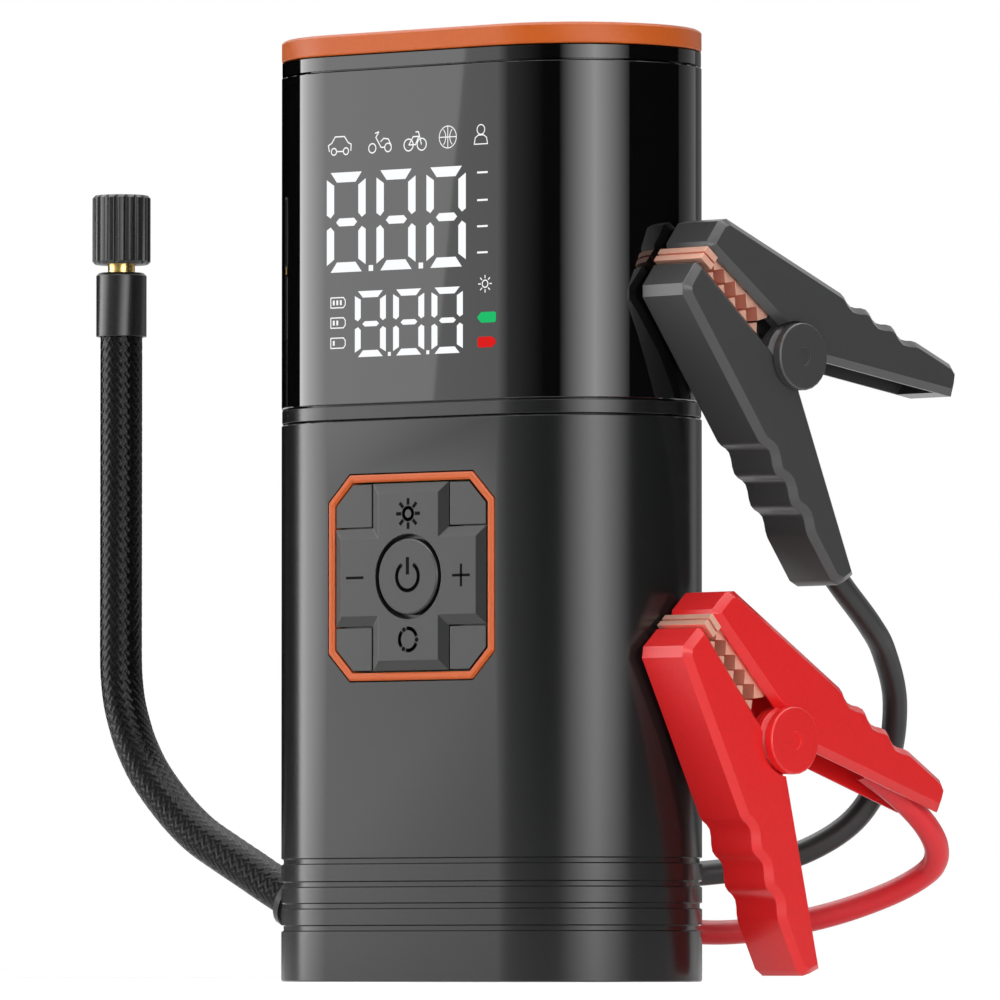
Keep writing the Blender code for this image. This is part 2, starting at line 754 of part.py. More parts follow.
def battery_and_boards():
    half = CELL_WIDTH / 2
    floor = BASE_THICKNESS + FIT
    for i in range(CELL_COUNT):
        front = CELL_FRONT + i * (CELL_THICKNESS + FIT)
        back = front + CELL_THICKNESS
        box(f"battery_cell_{i + 1}", (-half, front, floor), (half, back, floor + CELL_HEIGHT), cell_foil())
    half = MAIN_BOARD_WIDTH / 2
    back = MAIN_BOARD_FRONT + BOARD_THICKNESS
    top = floor + MAIN_BOARD_HEIGHT
    box("main_board", (-half, MAIN_BOARD_FRONT, floor), (half, back, top), board_green())
    half = DISPLAY_BOARD_WIDTH / 2
    front = WALL + FIT - HALF_DEPTH
    box("display_board", (-half, front, ROOM_BASE), (half, front + BOARD_THICKNESS, ROOM_TOP), board_green())


def pump_motor():
    frame = empty("motor_frame", (MOTOR_X, 0, PUMP_HEIGHT), facing((0, 1, 0)))
    back = MOTOR_FRONT + MOTOR_LENGTH
    room = SHAFT_RADIUS + RUN
    profile = [
        (room, MOTOR_FRONT + SHAFT_LENGTH + MM),
        (room, MOTOR_FRONT),
        (MOTOR_RADIUS - MM, MOTOR_FRONT),
        (MOTOR_RADIUS, MOTOR_FRONT + MM),
        (MOTOR_RADIUS, back - MM),
        (MOTOR_RADIUS - MM, back),
    ]
    turned("pump_motor", profile, steel(), frame)


def crank_wheel():
    frame = empty("crank_frame", (MOTOR_X, 0, PUMP_HEIGHT), facing((0, 1, 0)))
    profile = [
        (CRANK_RADIUS, CRANK_FRONT),
        (CRANK_RADIUS, CRANK_BACK),
        (SHAFT_RADIUS, CRANK_BACK),
        (SHAFT_RADIUS, MOTOR_FRONT + SHAFT_LENGTH),
    ]
    wheel = turned("crank_wheel", profile, steel(), frame)
    reach = ROD_Y - ROD_THICKNESS / 2 - FIT
    pin_profile = [(CRANK_PIN_RADIUS, reach), (CRANK_PIN_RADIUS, CRANK_FRONT + MM)]
    pin = turned("crank_pin", pin_profile, steel(), frame, steps=16)
    pin.location = (CRANK_THROW, 0, 0)
    boolean(wheel, pin, "UNION")


def connecting_rod():
    """Its frame stands on the crank pin, with X along the rod."""
    frame = empty("rod_frame", (PIN_X, ROD_Y, PUMP_HEIGHT), facing((0, 1, 0)))
    half = ROD_THICKNESS / 2
    bar = ROD_TIP_RADIUS * 0.8
    meet = math.asin(bar / ROD_EYE_RADIUS)
    outline = []
    for i in range(21):
        angle = meet + (2 * math.pi - 2 * meet) * i / 20
        outline.append((ROD_EYE_RADIUS * math.cos(angle), ROD_EYE_RADIUS * math.sin(angle)))
    for i in range(9):
        angle = math.pi * (i / 8 - 0.5)
        outline.append((ROD_LENGTH + ROD_TIP_RADIUS * math.cos(angle), ROD_TIP_RADIUS * math.sin(angle)))
    rod = plate("connecting_rod", outline, -half, half, steel(), frame)
    place = (PIN_X, ROD_Y, PUMP_HEIGHT)
    drill(rod, "rod_eye", place, (0, 1, 0), CRANK_PIN_RADIUS + RUN, -4 * half, 4 * half, 16)


def piston_and_cylinder():
    frame = empty("piston_frame", (0, ROD_Y, PUMP_HEIGHT), facing((-1, 0, 0)))
    inner = PISTON_RADIUS - PISTON_WALL
    skirt = -ROD_TIP_X - PISTON_SKIRT
    crown = -CROWN_X
    profile = [
        (PISTON_RADIUS, crown + PISTON_CROWN),
        (PISTON_RADIUS, skirt),
        (inner, skirt),
        (inner, crown),
    ]
    turned("piston", profile, steel(), frame)
    bore = PISTON_RADIUS + FIT
    head = -HEAD_X
    profile = [
        (CYLINDER_RADIUS, head + CYLINDER_HEAD),
        (CYLINDER_RADIUS, skirt - CYLINDER_SKIRT),
        (bore, skirt - CYLINDER_SKIRT),
        (bore, head),
    ]
    cylinder = turned("pump_cylinder", profile, steel(), frame)
    port = (PORT_X, ROD_Y, PUMP_HEIGHT)
    drill(cylinder, "head_port", port, (0, 0, -1), AIR_PORT_RADIUS, 2 * MM, CYLINDER_RADIUS + MM, 16)
    drill(cylinder, "head_way", port, (1, 0, 0), MM, -MM, CYLINDER_HEAD / 2 + MM, 12)
    drill(cylinder, "head_drop", port, (0, 0, -1), MM, -0.5 * MM, 3 * MM, 12)


def pump_frame():
    front = ROD_Y + CYLINDER_RADIUS + FIT
    back = front + PUMP_FRAME_THICKNESS
    half = HALF_WIDTH - WALL - PUMP_FRAME_GAP
    frame = box("pump_frame", (-half, front, ROOM_BASE), (half, back, PUMP_FRAME_TOP), steel())
    place = (MOTOR_X, front, PUMP_HEIGHT)
    drill(frame, "motor_hole", place, (0, 1, 0), MOTOR_RADIUS + FIT, -MM, PUMP_FRAME_THICKNESS + MM, 32)


def air_tube():
    across = hose_up()
    start = hose_exit() + hose_direction() * (GLAND_NUT[0] + 3.3 * MM)
    first = [start + across * 2.2 * MM, start + across * 6 * MM]
    top = PUMP_HEIGHT - CYLINDER_RADIUS
    beside = -CELL_WIDTH / 2 - AIR_TUBE_DIAMETER / 2 - AIR_TUBE_GAP
    middle = [Vector((beside, -MM, z * MM)) for z in AIR_HEIGHTS]
    aside, down = AIR_BEND
    bend = Vector((PORT_X - aside, ROD_Y + aside, top - down))
    last = [Vector((PORT_X, ROD_Y, top - drop)) for drop in AIR_DROPS]
    route = [*first, *middle, bend, *last]
    tube("air_tube", smooth_line(route, 3 * AIR_TUBE_DIAMETER), AIR_TUBE_DIAMETER, dark_plastic())


# Hose and chuck


def hose_direction():
    return Vector((-math.cos(HOSE_EXIT_RISE), 0, math.sin(HOSE_EXIT_RISE)))


def hose_up():
    return Vector((math.sin(HOSE_EXIT_RISE), 0, math.cos(HOSE_EXIT_RISE)))


def hose_exit():
    return Vector((-HALF_WIDTH, 0, HOSE_EXIT_Z))


def hose_gland():
    frame = empty("gland_frame", hose_exit(), facing(hose_direction()))
    bore = HOSE_DIAMETER / 2 + FIT
    nut_back, nut_front = GLAND_NUT
    collar_back, collar_front = GLAND_COLLAR
    profile = [
        (GLAND_COLLAR_RADIUS, nut_back),
        (GLAND_COLLAR_RADIUS, nut_front),
        (GLAND_NECK_RADIUS, nut_front),
        (GLAND_NECK_RADIUS, collar_back),
        (GLAND_COLLAR_RADIUS, collar_back),
        (GLAND_COLLAR_RADIUS, collar_front - EDGE_ROUND),
        (GLAND_COLLAR_RADIUS - EDGE_ROUND, collar_front),
        (bore, collar_front),
        (bore, GLAND_BORE_END),
        (1.5 * MM, GLAND_BORE_END),
        (1.5 * MM, nut_back + 2 * MM),
    ]
    gland = turned("hose_gland", profile, dark_plastic(), frame)
    place = hose_exit() + hose_direction() * (nut_back + 3.3 * MM)
    drill(gland, "gland_port", place, hose_up(), AIR_PORT_RADIUS, MM, 2 * GLAND_COLLAR_RADIUS, 16)


def hose_top():
    return Vector(HOSE_ROUTE[-1]) * MM


def hose():
    along = hose_direction()
    first = [hose_exit() + along * d for d in (GLAND_BORE_END + FIT, 0, 8 * MM)]
    top = hose_top()
    last = Vector((top.x, top.y, FERRULE_BASE + FERRULE_GRIP - FIT))
    line = smooth_line([*first, *metres(HOSE_ROUTE), last], 1.6 * HOSE_DIAMETER)
    tube("hose", line, HOSE_DIAMETER, hose_braid(), sides=3)


def hose_ferrule(frame):
    grip = FERRULE_BASE + FERRULE_GRIP
    top = FERRULE_BASE + FERRULE_LENGTH
    bore = HOSE_DIAMETER / 2 + FIT
    neck = STEM_RADIUS + FIT
    profile = [
        (bore, FERRULE_BASE),
        (FERRULE_RADIUS, FERRULE_BASE),
        (FERRULE_RADIUS, top - EDGE_ROUND),
        (FERRULE_RADIUS - EDGE_ROUND, top),
        (neck, top),
        (neck, grip),
        (bore, grip),
    ]
    turned("hose_ferrule", profile, dark_plastic(), frame, steps=2 * FERRULE_FACETS, closed=True)


def flange_base():
    return CHUCK_BASE + CHUCK_LIP + FIT


def chuck_stem(frame):
    low = FERRULE_BASE + FERRULE_GRIP + FIT
    flange = flange_base()
    profile = [
        (STEM_BORE_RADIUS, low),
        (STEM_RADIUS, low),
        (STEM_RADIUS, flange),
        (STEM_FLANGE_RADIUS, flange),
        (STEM_FLANGE_RADIUS, flange + STEM_FLANGE),
        (STEM_BORE_RADIUS, flange + STEM_FLANGE),
    ]
    turned("chuck_stem", profile, brass(), frame, closed=True)


def chuck_seal(frame):
    low = flange_base() + STEM_FLANGE + FIT
    high = low + SEAL_THICKNESS
    outer = STEM_FLANGE_RADIUS
    inner = STEM_BORE_RADIUS
    profile = [(inner, low), (outer, low), (outer, high), (inner, high)]
    turned("chuck_seal", profile, dark_plastic(), frame, closed=True)


def fluted(radius, depth, flutes, height):
    """A circle with round-topped ribs, four points to a rib."""
    ring = []
    for i in range(4 * flutes):
        angle = 2 * math.pi * i / (4 * flutes)
        reach = radius - (depth if i % 4 == 0 else 0)
        ring.append((reach * math.cos(angle), reach * math.sin(angle), height))
    return ring


def chuck_collar(frame):
    top = CHUCK_BASE + CHUCK_LENGTH
    lip = CHUCK_BASE + CHUCK_LIP
    neck = STEM_RADIUS + RUN
    steps = [
        (neck, 0, CHUCK_BASE),
        (CHUCK_RADIUS - EDGE_ROUND, 0, CHUCK_BASE),
        (CHUCK_RADIUS, CHUCK_FLUTE_DEPTH, CHUCK_BASE + EDGE_ROUND),
        (CHUCK_RADIUS, CHUCK_FLUTE_DEPTH, top - EDGE_ROUND),
        (CHUCK_RADIUS - EDGE_ROUND, 0, top),
        (CHUCK_BORE_RADIUS, 0, top),
        (CHUCK_BORE_RADIUS, 0, lip),
        (neck, 0, lip),
    ]
    rings = [fluted(radius, depth, CHUCK_FLUTES, z) for radius, depth, z in steps]
    stacked("chuck_collar", rings, dark_plastic(), frame, closed=True)


def hose_and_chuck():
    hose_gland()
    hose()
    top = hose_top()
    frame = empty("chuck_frame", (top.x, top.y, 0))
    hose_ferrule(frame)
    chuck_stem(frame)
    chuck_seal(frame)
    chuck_collar(frame)


# Leads and clamps


def lead_gland(name):
    x, z = LEAD_EXITS[name]
    frame = empty(f"{name}_lead_frame", (x, HALF_DEPTH, z), facing((0, 1, 0)))
    bore = LEAD_DIAMETER / 2 + FIT
    inside = -WALL - FIT
    profile = [
        (bore, inside - LEAD_NUT),
        (LEAD_COLLAR_RADIUS, inside - LEAD_NUT),
        (LEAD_COLLAR_RADIUS, inside),
        (LEAD_NECK_RADIUS, inside),
        (LEAD_NECK_RADIUS, FIT),
        (LEAD_COLLAR_RADIUS, FIT),
        (LEAD_COLLAR_RADIUS, 2 * MM),
        (LEAD_TIP_RADIUS, LEAD_COLLAR_LENGTH),
        (bore, LEAD_COLLAR_LENGTH),
    ]
    turned(f"{name}_lead_gland", profile, dark_plastic(), frame, steps=24, closed=True)


def clamp_matrix(name):
    """The clamp's own frame: X along s, Y along q, Z out of its visible side."""
    pivot, height, tilt, _ = CLAMPS[name]
    across = Vector((math.cos(CLAMP_YAW), math.sin(CLAMP_YAW), 0))
    out = Vector((math.sin(CLAMP_YAW), -math.cos(CLAMP_YAW), 0))
    up = Vector((0, 0, 1))
    s = across * math.cos(tilt) + up * math.sin(tilt)
    q = up * math.cos(tilt) - across * math.sin(tilt)
    place = across * pivot + out * (CLAMP_FACE + HALF_CLAMP) + up * height
    turn = Matrix((s, q, out)).transposed().to_4x4()
    return Matrix.Translation(place) @ turn


def lead(name):
    x, z = LEAD_EXITS[name]
    side = CLAMPS[name][3]
    first = [Vector((x, HALF_DEPTH + d, z)) for d in (-LEAD_INSIDE, 0, LEAD_COLLAR_LENGTH)]
    to_world = clamp_matrix(name)
    last = [to_world @ Vector((s * MM, side * q * MM, 0)) for s, q in LEAD_IN_CLAMP]
    line = smooth_line([*first, *metres(LEAD_ROUTES[name]), *last], 1.3 * LEAD_DIAMETER)
    tube(f"{name}_lead", line, LEAD_DIAMETER, lead_rubber(name))


def outer_q(s):
    return NOSE_OUTER_Q + (s - NOSE_S) * OUTER_SLOPE


def grip_edge():
    """The outer edge from the nose to the grip's end, with finger scallops."""
    edge = [(NOSE_S + NOSE_ROUND, outer_q(NOSE_S + NOSE_ROUND))]
    count = SCALLOP_COUNT * SCALLOP_STEPS
    for i in range(count + 1):
        s = SCALLOP_START + SCALLOP_LENGTH * i / SCALLOP_STEPS
        dip = SCALLOP_DEPTH * math.sin(math.pi * i / SCALLOP_STEPS) ** 2
        edge.append((s, outer_q(s) - dip))
    end = GRIP_END_S - 3.5 * MM
    corner = [(GRIP_END_S - MM, outer_q(end) - 0.6 * MM), (GRIP_END_S, outer_q(end) - 2.4 * MM)]
    return [*edge, (end, outer_q(end)), *corner]


def lobe_edge():
    first, last = LOBE_ANGLES
    edge = []
    for i in range(LOBE_STEPS + 1):
        angle = math.radians(first + (last - first) * i / LOBE_STEPS)
        edge.append((LOBE_RADIUS * math.cos(angle), LOBE_RADIUS * math.sin(angle)))
    return edge


def half_outline():
    nose = [(NOSE_S + MM, NOSE_INNER_Q), (NOSE_S, NOSE_INNER_Q + MM), (NOSE_S, NOSE_OUTER_Q - NOSE_ROUND)]
    end = [(GRIP_END_S + MM, GRIP_END_INNER_Q)]
    return nose + grip_edge() + end + lobe_edge()


def shrunk(outline, distance):
    """The outline moved inwards."""
    count = len(outline)
    moved = []
    for i in range(count):
        before, here, after = (Vector(outline[(i + k) % count]) for k in (-1, 0, 1))
        a, b = (here - before).normalized(), (after - here).normalized()
        inward = Vector((a.y + b.y, -a.x - b.x)).normalized()
        share = max(0.6, inward.dot(Vector((a.y, -a.x))))
        moved.append(here + inward * distance / share)
    return [(p.x, p.y) for p in moved]


def mirrored(outline, side):
    return [(s, side * q) for s, q in outline]


def channel_outline(low, high, wall, side):
    """The hollow of a clamp half between two places along it, open on the inner side."""
    edge = [(low, outer_q(low) - wall), (high, outer_q(high) - wall)]
    return mirrored([*edge, (high, -3 * LOBE_RADIUS), (low, -3 * LOBE_RADIUS)], side)


def clamp_half(name, frame, colour, side, moving):
    full = half_outline()
    small = shrunk(full, CLAMP_CHAMFER)
    step = HALF_CLAMP - CLAMP_CHAMFER
    layers = [(small, -HALF_CLAMP), (full, -step), (full, step), (small, HALF_CLAMP)]
    rings = [[(s, q, z) for s, q in mirrored(outline, side)] for outline, z in layers]
    half = stacked(name, rings, clamp_plastic(colour), frame)
    ends = (NOSE_S + NOSE_WALL, GRIP_END_S + (-GRIP_END_WALL if moving else 2 * CHANNEL_WALL))
    spans = [(*ends, CHANNEL_WALL, CHANNEL_HALF)]
    if moving:
        reach = INNER_CHANNEL_REACH
        spans = [
            (ends[0], -reach, CHANNEL_WALL, CHANNEL_HALF),
            (-reach - FIT / 2, reach + FIT / 2, CHANNEL_WALL + MM, INNER_CHANNEL_HALF),
            (reach, ends[1], CHANNEL_WALL, CHANNEL_HALF),
        ]
    for i, (low, high, wall, width) in enumerate(spans):
        outline = channel_outline(low, high, wall, side)
        cutter = plate(f"{name}_channel_{i}", outline, -width, width, dark_plastic(), frame)
        boolean(half, cutter)
    if moving:
        for face in (-1, 1):
            heights = sorted((face * INNER_CHEEK_HALF, face * (HALF_CLAMP + MM)))
            profile = [(LOBE_BITE, z) for z in heights]
            boolean(half, turned(f"{name}_bite_{face}", profile, dark_plastic(), frame, steps=40))
    profile = [(RIVET_RADIUS + RUN, -2 * HALF_CLAMP), (RIVET_RADIUS + RUN, 2 * HALF_CLAMP)]
    boolean(half, turned(f"{name}_pin_hole", profile, dark_plastic(), frame, steps=20))


def clamp_jaw(name, frame, side):
    """A toothed copper block in the jaw, with a pad across the nose."""
    pitch = (JAW_END - JAW_START) / JAW_TEETH
    teeth = []
    for i in range(JAW_TEETH):
        start = JAW_START + i * pitch
        teeth += [(start + 0.1 * pitch, JAW_VALLEY_Q), (start + 0.6 * pitch, JAW_TIP_Q)]
    back = [(JAW_END, JAW_VALLEY_Q), (JAW_END, JAW_BACK_Q), (JAW_START, JAW_BACK_Q), (JAW_START, NOSE_PAD_Q)]
    nose = [(NOSE_PAD_S + 0.1 * MM, NOSE_PAD_Q - 0.05 * MM), (NOSE_PAD_S + 0.1 * MM, JAW_TIP_Q + 0.05 * MM)]
    outline = mirrored([*nose, (JAW_START, JAW_TIP_Q + 0.05 * MM), *teeth, *back], side)
    jaw = plate(name, outline, -JAW_HALF_WIDTH, JAW_HALF_WIDTH, copper(), frame)
    corners = [(NOSE_PAD_S, JAW_TIP_Q), (JAW_START + 0.2 * MM, JAW_TIP_Q)]
    corners += [(JAW_START + 0.2 * MM, NOSE_PAD_Q), (NOSE_PAD_S, NOSE_PAD_Q)]
    width = NOSE_PAD_HALF_WIDTH
    pad = plate(f"{name}_pad", mirrored(corners, side), -width, width, copper(), frame)
    boolean(jaw, pad, "UNION")


def clamp_rivet(name, frame, colour):
    base = HALF_CLAMP + FIT
    top = base + RIVET_HEAD
    head = [
        (RIVET_RADIUS, base),
        (RIVET_HEAD_RADIUS, base),
        (RIVET_HEAD_RADIUS, top - EDGE_ROUND / 2),
        (RIVET_HEAD_RADIUS - EDGE_ROUND / 2, top),
        (DIMPLE_RADIUS, top),
        (DIMPLE_RADIUS, top - DIMPLE_DEPTH),
    ]
    profile = [(radius, -z) for radius, z in reversed(head)] + head
    turned(name, profile, clamp_plastic(colour), frame)


def clamp_spring(name, frame):
    """A coil round the rivet, with a straight leg in each half."""
    lean = math.radians(90 - SPRING_LEG_ANGLE)
    sweep = 2 * math.pi * (SPRING_TURNS + 1) - 2 * lean
    steps = 14 * (SPRING_TURNS + 1)
    coil = []
    for i in range(steps + 1):
        angle = lean + sweep * i / steps
        z = SPRING_HALF_LENGTH * (2 * i / steps - 1)
        coil.append(Vector((SPRING_RADIUS * math.cos(angle), SPRING_RADIUS * math.sin(angle), z)))
    legs = []
    for end, sign in ((coil[0], -1), (coil[-1], 1)):
        along = math.radians(sign * SPRING_LEG_ANGLE)
        legs.append(end + SPRING_LEG * Vector((math.cos(along), math.sin(along), 0)))
    tube(name, [legs[0], *coil, legs[1]], SPRING_WIRE, steel(), frame, sides=1)


def clamp(name):
    frame = empty(f"{name}_clamp_frame", (0, 0, 0))
    frame.matrix_world = clamp_matrix(name)
    side = CLAMPS[name][3]
    clamp_half(f"{name}_clamp_fixed_half", frame, name, side, moving=False)
    clamp_half(f"{name}_clamp_moving_half", frame, name, -side, moving=True)
    clamp_jaw(f"{name}_fixed_jaw", frame, side)
    clamp_jaw(f"{name}_moving_jaw", frame, -side)
    clamp_rivet(f"{name}_clamp_rivet", frame, name)
    clamp_spring(f"{name}_clamp_spring", frame)


def main():
    clear_scene()
    lower_shell()
    base_cap()
    base_screws()
    bands_and_top()
    upper_shell()
    back_fittings()
    keypad()
    battery_and_boards()
    pump_motor()
    crank_wheel()
    connecting_rod()
    piston_and_cylinder()
    pump_frame()
    air_tube()
    hose_and_chuck()
    for name in CLAMPS:
        lead_gland(name)
        lead(name)
        clamp(name)


main()
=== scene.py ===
"""Looks for the jump starter pack: finishes, hose, leads, springs, lit display, key signs and stage."""

import json
import math
from collections import namedtuple

import bpy
import numpy as np
from mathutils import Matrix, Vector

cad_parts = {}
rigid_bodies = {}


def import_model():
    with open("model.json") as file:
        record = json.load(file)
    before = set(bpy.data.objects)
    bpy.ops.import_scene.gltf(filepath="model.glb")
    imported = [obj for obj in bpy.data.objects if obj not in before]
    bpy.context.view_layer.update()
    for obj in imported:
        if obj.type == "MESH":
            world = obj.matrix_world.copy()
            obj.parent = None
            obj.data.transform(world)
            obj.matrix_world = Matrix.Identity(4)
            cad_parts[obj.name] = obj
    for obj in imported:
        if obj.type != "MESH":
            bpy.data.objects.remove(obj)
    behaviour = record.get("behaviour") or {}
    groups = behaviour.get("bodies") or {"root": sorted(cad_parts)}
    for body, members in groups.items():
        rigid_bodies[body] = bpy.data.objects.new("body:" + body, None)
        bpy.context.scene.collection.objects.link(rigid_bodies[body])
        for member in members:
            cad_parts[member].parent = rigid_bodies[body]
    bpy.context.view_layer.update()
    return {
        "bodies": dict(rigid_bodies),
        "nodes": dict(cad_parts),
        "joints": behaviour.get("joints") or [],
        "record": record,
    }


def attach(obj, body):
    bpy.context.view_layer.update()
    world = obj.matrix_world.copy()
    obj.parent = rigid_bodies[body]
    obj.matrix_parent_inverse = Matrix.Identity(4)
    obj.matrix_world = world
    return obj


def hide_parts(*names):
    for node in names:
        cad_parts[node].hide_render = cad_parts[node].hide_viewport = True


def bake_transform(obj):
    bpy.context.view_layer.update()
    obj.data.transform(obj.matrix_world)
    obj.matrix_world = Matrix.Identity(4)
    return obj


MM = 0.001

# Camera, as in the photograph
AZIMUTH = math.radians(39)
DISTANCE = 2.4
EYE_HEIGHT = 0.003
AIM_HEIGHT = 0.1003
AIM_RIGHT = 0.002
LENS = 415
SENSOR_WIDTH = 36
CLIP_START = 0.05
CLIP_END = 20

# Light
WORLD_LIGHT = 0.32
FLOOR_GLOW = 0.66
FLOOR_HALF = 6.0
FLOOR_HEIGHT = -0.0002
LAMP_PLACE = (0.2, -0.4, 1.3)
LAMP_AIM = (0, 0, 0.1)
LAMP_POWER = 9
LAMP_SIZE = 0.8

# Softboxes round the object: for each edge its azimuth in degrees and the light there. Flags are dark.
CARDS = {
    "front_flag": ((-40, 0), (27, 0)),
    "left_flag": ((-77, 0), (-140, 0)),
    "right_flag": ((88, 0), (146, 0)),
    "left_card": ((-39.32, 3.6), (-76, 7.2)),
    "dim_card": ((-40, 2.4), (-25, 0.55)),
    "fading_card": ((-25, 0.55), (10, 0)),
    "right_rise_card": ((24, 0), (56, 6.6)),
    "right_fall_card": ((56, 6.6), (88, 0.4)),
    "back_card": ((146, 0.2), (218, 1.2)),
}
# Higher ones, seen only as reflections on the cap and the grooves
LIP_CARDS = {
    "left_lip_card": ((-30, 3), (-80, 3)),
    "right_lip_card": ((24, 3), (88, 3)),
}
CARD_RADIUS = 1.2
CARD_RADII = {"front_flag": 1.22, "dim_card": 1.21, "fading_card": 1.21}
CARD_STEPS = 16
CARD_LOW = 0.001
CARD_HIGH = 0.36
LIP_HIGH = 1.0
# Slant of a first edge: degrees, reached over LEAN_RISE above LEAN_FOOT
CARD_LEANS = {"left_card": 2.59}
LEAN_FOOT = 0.02
LEAN_RISE = 0.32
# The flat one overhead
TOP_CARD_X = (-1.5, 0.6)
TOP_CARD_Y = (-0.6, 0.9)
TOP_CARD_HEIGHT = 1.25
TOP_CARD_LIGHT = 4

# Places on the object
FRONT = -26.0 * MM
KEY_FRONT = -27.0 * MM
POWER_FRONT = -27.2 * MM
PROUD = 0.04 * MM

# Edges of the CAD pieces
WELD_GAP = 1e-6
FLAT_ANGLE = 0.3
ROUNDING = 0.12 * MM
SHELL_ROUNDING = 0.22 * MM
CLAMP_ROUNDING = 0.7 * MM
ROUNDING_SEGMENTS = 3
ROUNDING_ANGLE = 38
SPLIT_ANGLE = 32
SHARP_ANGLES = {"cross_key": 14, "keypad_bezel": 20, "keypad_plate": 20}
PLAIN_WALLS = ("lower_shell", "upper_shell", "top_ring", "mid_band", "base_cap")
CRISP_PIECES = ("upper_shell", "top_ring", "base_cap", "black_clamp_spring", "red_clamp_spring")

# Finishes
ROUGH_LOW = 0.9
ROUGH_HIGH = 1.12
GRAIN_RELIEF = 0.0002
# Places of the colour sockets in a Mix node
MIX_COLOUR_A = 6
MIX_COLOUR_B = 7
MIX_COLOUR_RESULT = 2
STEEL_PIECES = (
    "usb_a_socket",
    "usb_c_socket",
    "pump_motor",
    "crank_wheel",
    "connecting_rod",
    "piston",
    "pump_cylinder",
    "pump_frame",
)
BOARDS = ("key_board", "main_board", "display_board")
BASE_SCREWS = 4
CELLS = 3

# Hose and leads, in millimetres where no unit is given, repeated from the part
HOSE_DIAMETER = 9 * MM
HOSE_INSIDE = 6.7
HOSE_COLLAR = 8
HOSE_EXIT = (-49, 0, 15.2)
HOSE_RISE = math.radians(27)
HOSE_END = (-101.7, 0, 141.5)
HOSE_ROUTE = (
    (-60, 0, 20.8),
    (-65.5, 0, 23.7),
    (-71.1, 0, 26.6),
    (-76.6, 0, 29.5),
    (-79.5, 0, 31.2),
    (-82.3, 0, 33.2),
    (-85.1, 0, 35.5),
    (-88, 0, 38.2),
    (-91, 0, 41.3),
    (-93.7, 0, 44.5),
    (-95.9, 0, 47.8),
    (-97.9, 0, 51.5),
    (-99.4, 0, 55.3),
    (-100.6, 0, 59.2),
    (-101.3, 0, 63.2),
    (-101.65, 0, 67.5),
    (-101.7, 0, 75),
    (-101.7, 0, 88),
    (-101.7, 0, 102),
    (-101.7, 0, 116),
    (-101.7, 0, 128),
)
CASING_BACK = 26
LEAD_DIAMETER = 5.2 * MM
LEAD_INSIDE = 7.5
LEAD_COLLAR = 7.0
LEAD_EXITS = {"black": (20, 22.5), "red": (4, 15)}
LEAD_ROUTES = {
    "black": (
        (20.5, 38, 22.5),
        (23, 44, 22.8),
        (28.7, 50.3, 24),
        (38.9, 57.8, 27.6),
        (47.9, 63.2, 34.7),
        (54, 65.5, 46.1),
        (57.6, 63.4, 58.6),
        (60, 56.5, 68.7),
        (61.6, 49.3, 74.4),
    ),
    "red": (
        (6.5, 37.5, 13.6),
        (11.2, 43, 11.6),
        (17.6, 48.9, 10.4),
        (24.6, 54.4, 10.6),
        (31.5, 60.2, 12),
        (39.2, 64.6, 14),
        (46, 68.2, 16.4),
        (53, 71, 19.4),
        (58.6, 72.4, 22.6),
        (62.1, 71.4, 25.2),
        (64.2, 68.9, 28.4),
    ),
}
LEAD_IN_CLAMP = ((46, 24.2), (40, 23.4), (33, 21.5), (24, 18.2))
LEAD_COLOURS = {"black": (0.012, 0.012, 0.0125), "red": (0.88, 0.025, 0.035)}
CLAMP_YAW = math.radians(83)
CLAMP_MIDDLE = 56.6486
# Place of the pivot along the clamps' plane and its height, turn of the clamp, side of the half with the lead
Clamp = namedtuple("Clamp", "along height tilt lead_side")
CLAMPS = {
    "black": Clamp(25.9, 128.7, math.radians(-37.9), -1),
    "red": Clamp(23.3, 49.6, math.radians(-47.4), 1),
}

# The hose's braid and how finely the lines are drawn
BRAID_STRANDS = 16
BRAID_PITCH = 2.2 * MM
BRAID_DEPTH = 0.22 * MM
STRAND_ROUNDNESS = 0.7
HOSE_SIDES = 96
HOSE_STEP = 0.32 * MM
PATH_STEP = 3 * MM
LEAD_STEP = 1.2 * MM
LEAD_RESOLUTION = 6

# Display and keys, in millimetres across and up. Lines are given by half their width.
# Digits: left, bottom, width, height, and pitch from one digit to the next
LARGE_DIGITS = (-22.7, 147.3, 10.5, 20.8, 13.4)
SMALL_DIGITS = (-15.1, 129.5, 8.35, 13.7, 10.28)
DOT_INSET = 0.28
DOT_SIZE = 0.42
ICON_SCALE = 0.88
SIGN_LINE = 0.12
SUN_SIGN = (19.7, 143.5)
BATTERY_X = -19.7
BATTERY_BARS = ((141, 3), (136.8, 2), (132.6, 1))
BAR_START = -1.35
BAR_PITCH = 0.95
BAR_WIDTH = 0.5
BAR_HEIGHT = 1.0
DASH_ENDS = (17.7, 20.3)
DASH_HEIGHTS = (166.5, 160.8, 155.4, 150)
DASH_LINE = 0.2
CHARGE_PILL = (20.2, 136.6)
SUPPLY_PILL = (20.1, 131.5)
KEYPAD_Z = 83.65
KEY_REACH = 13
MINUS_X = -14.3
PLUS_X = 14.1
SIGN_HALF = 2.2
KEY_LINE = 0.28
SUN_LINE = 0.36
RING_RADIUS = 2.3
RING_LINE = 0.38
RING_STARTS = (20, 140, 260)
RING_ARC = 76
RING_DOT_TURN = 98
RING_DOT = 0.5
POWER_RADIUS = 2.9
POWER_LINE = 0.4


def new_material(name):
    made = bpy.data.materials.new(name)
    made.use_nodes = True
    return made, made.node_tree, made.node_tree.nodes["Principled BSDF"]


def node(tree, kind, **values):
    """A new node, with the values of its inputs given by name."""
    made = tree.nodes.new(kind)
    for name, value in values.items():
        made.inputs[name.replace("_", " ")].default_value = value
    return made


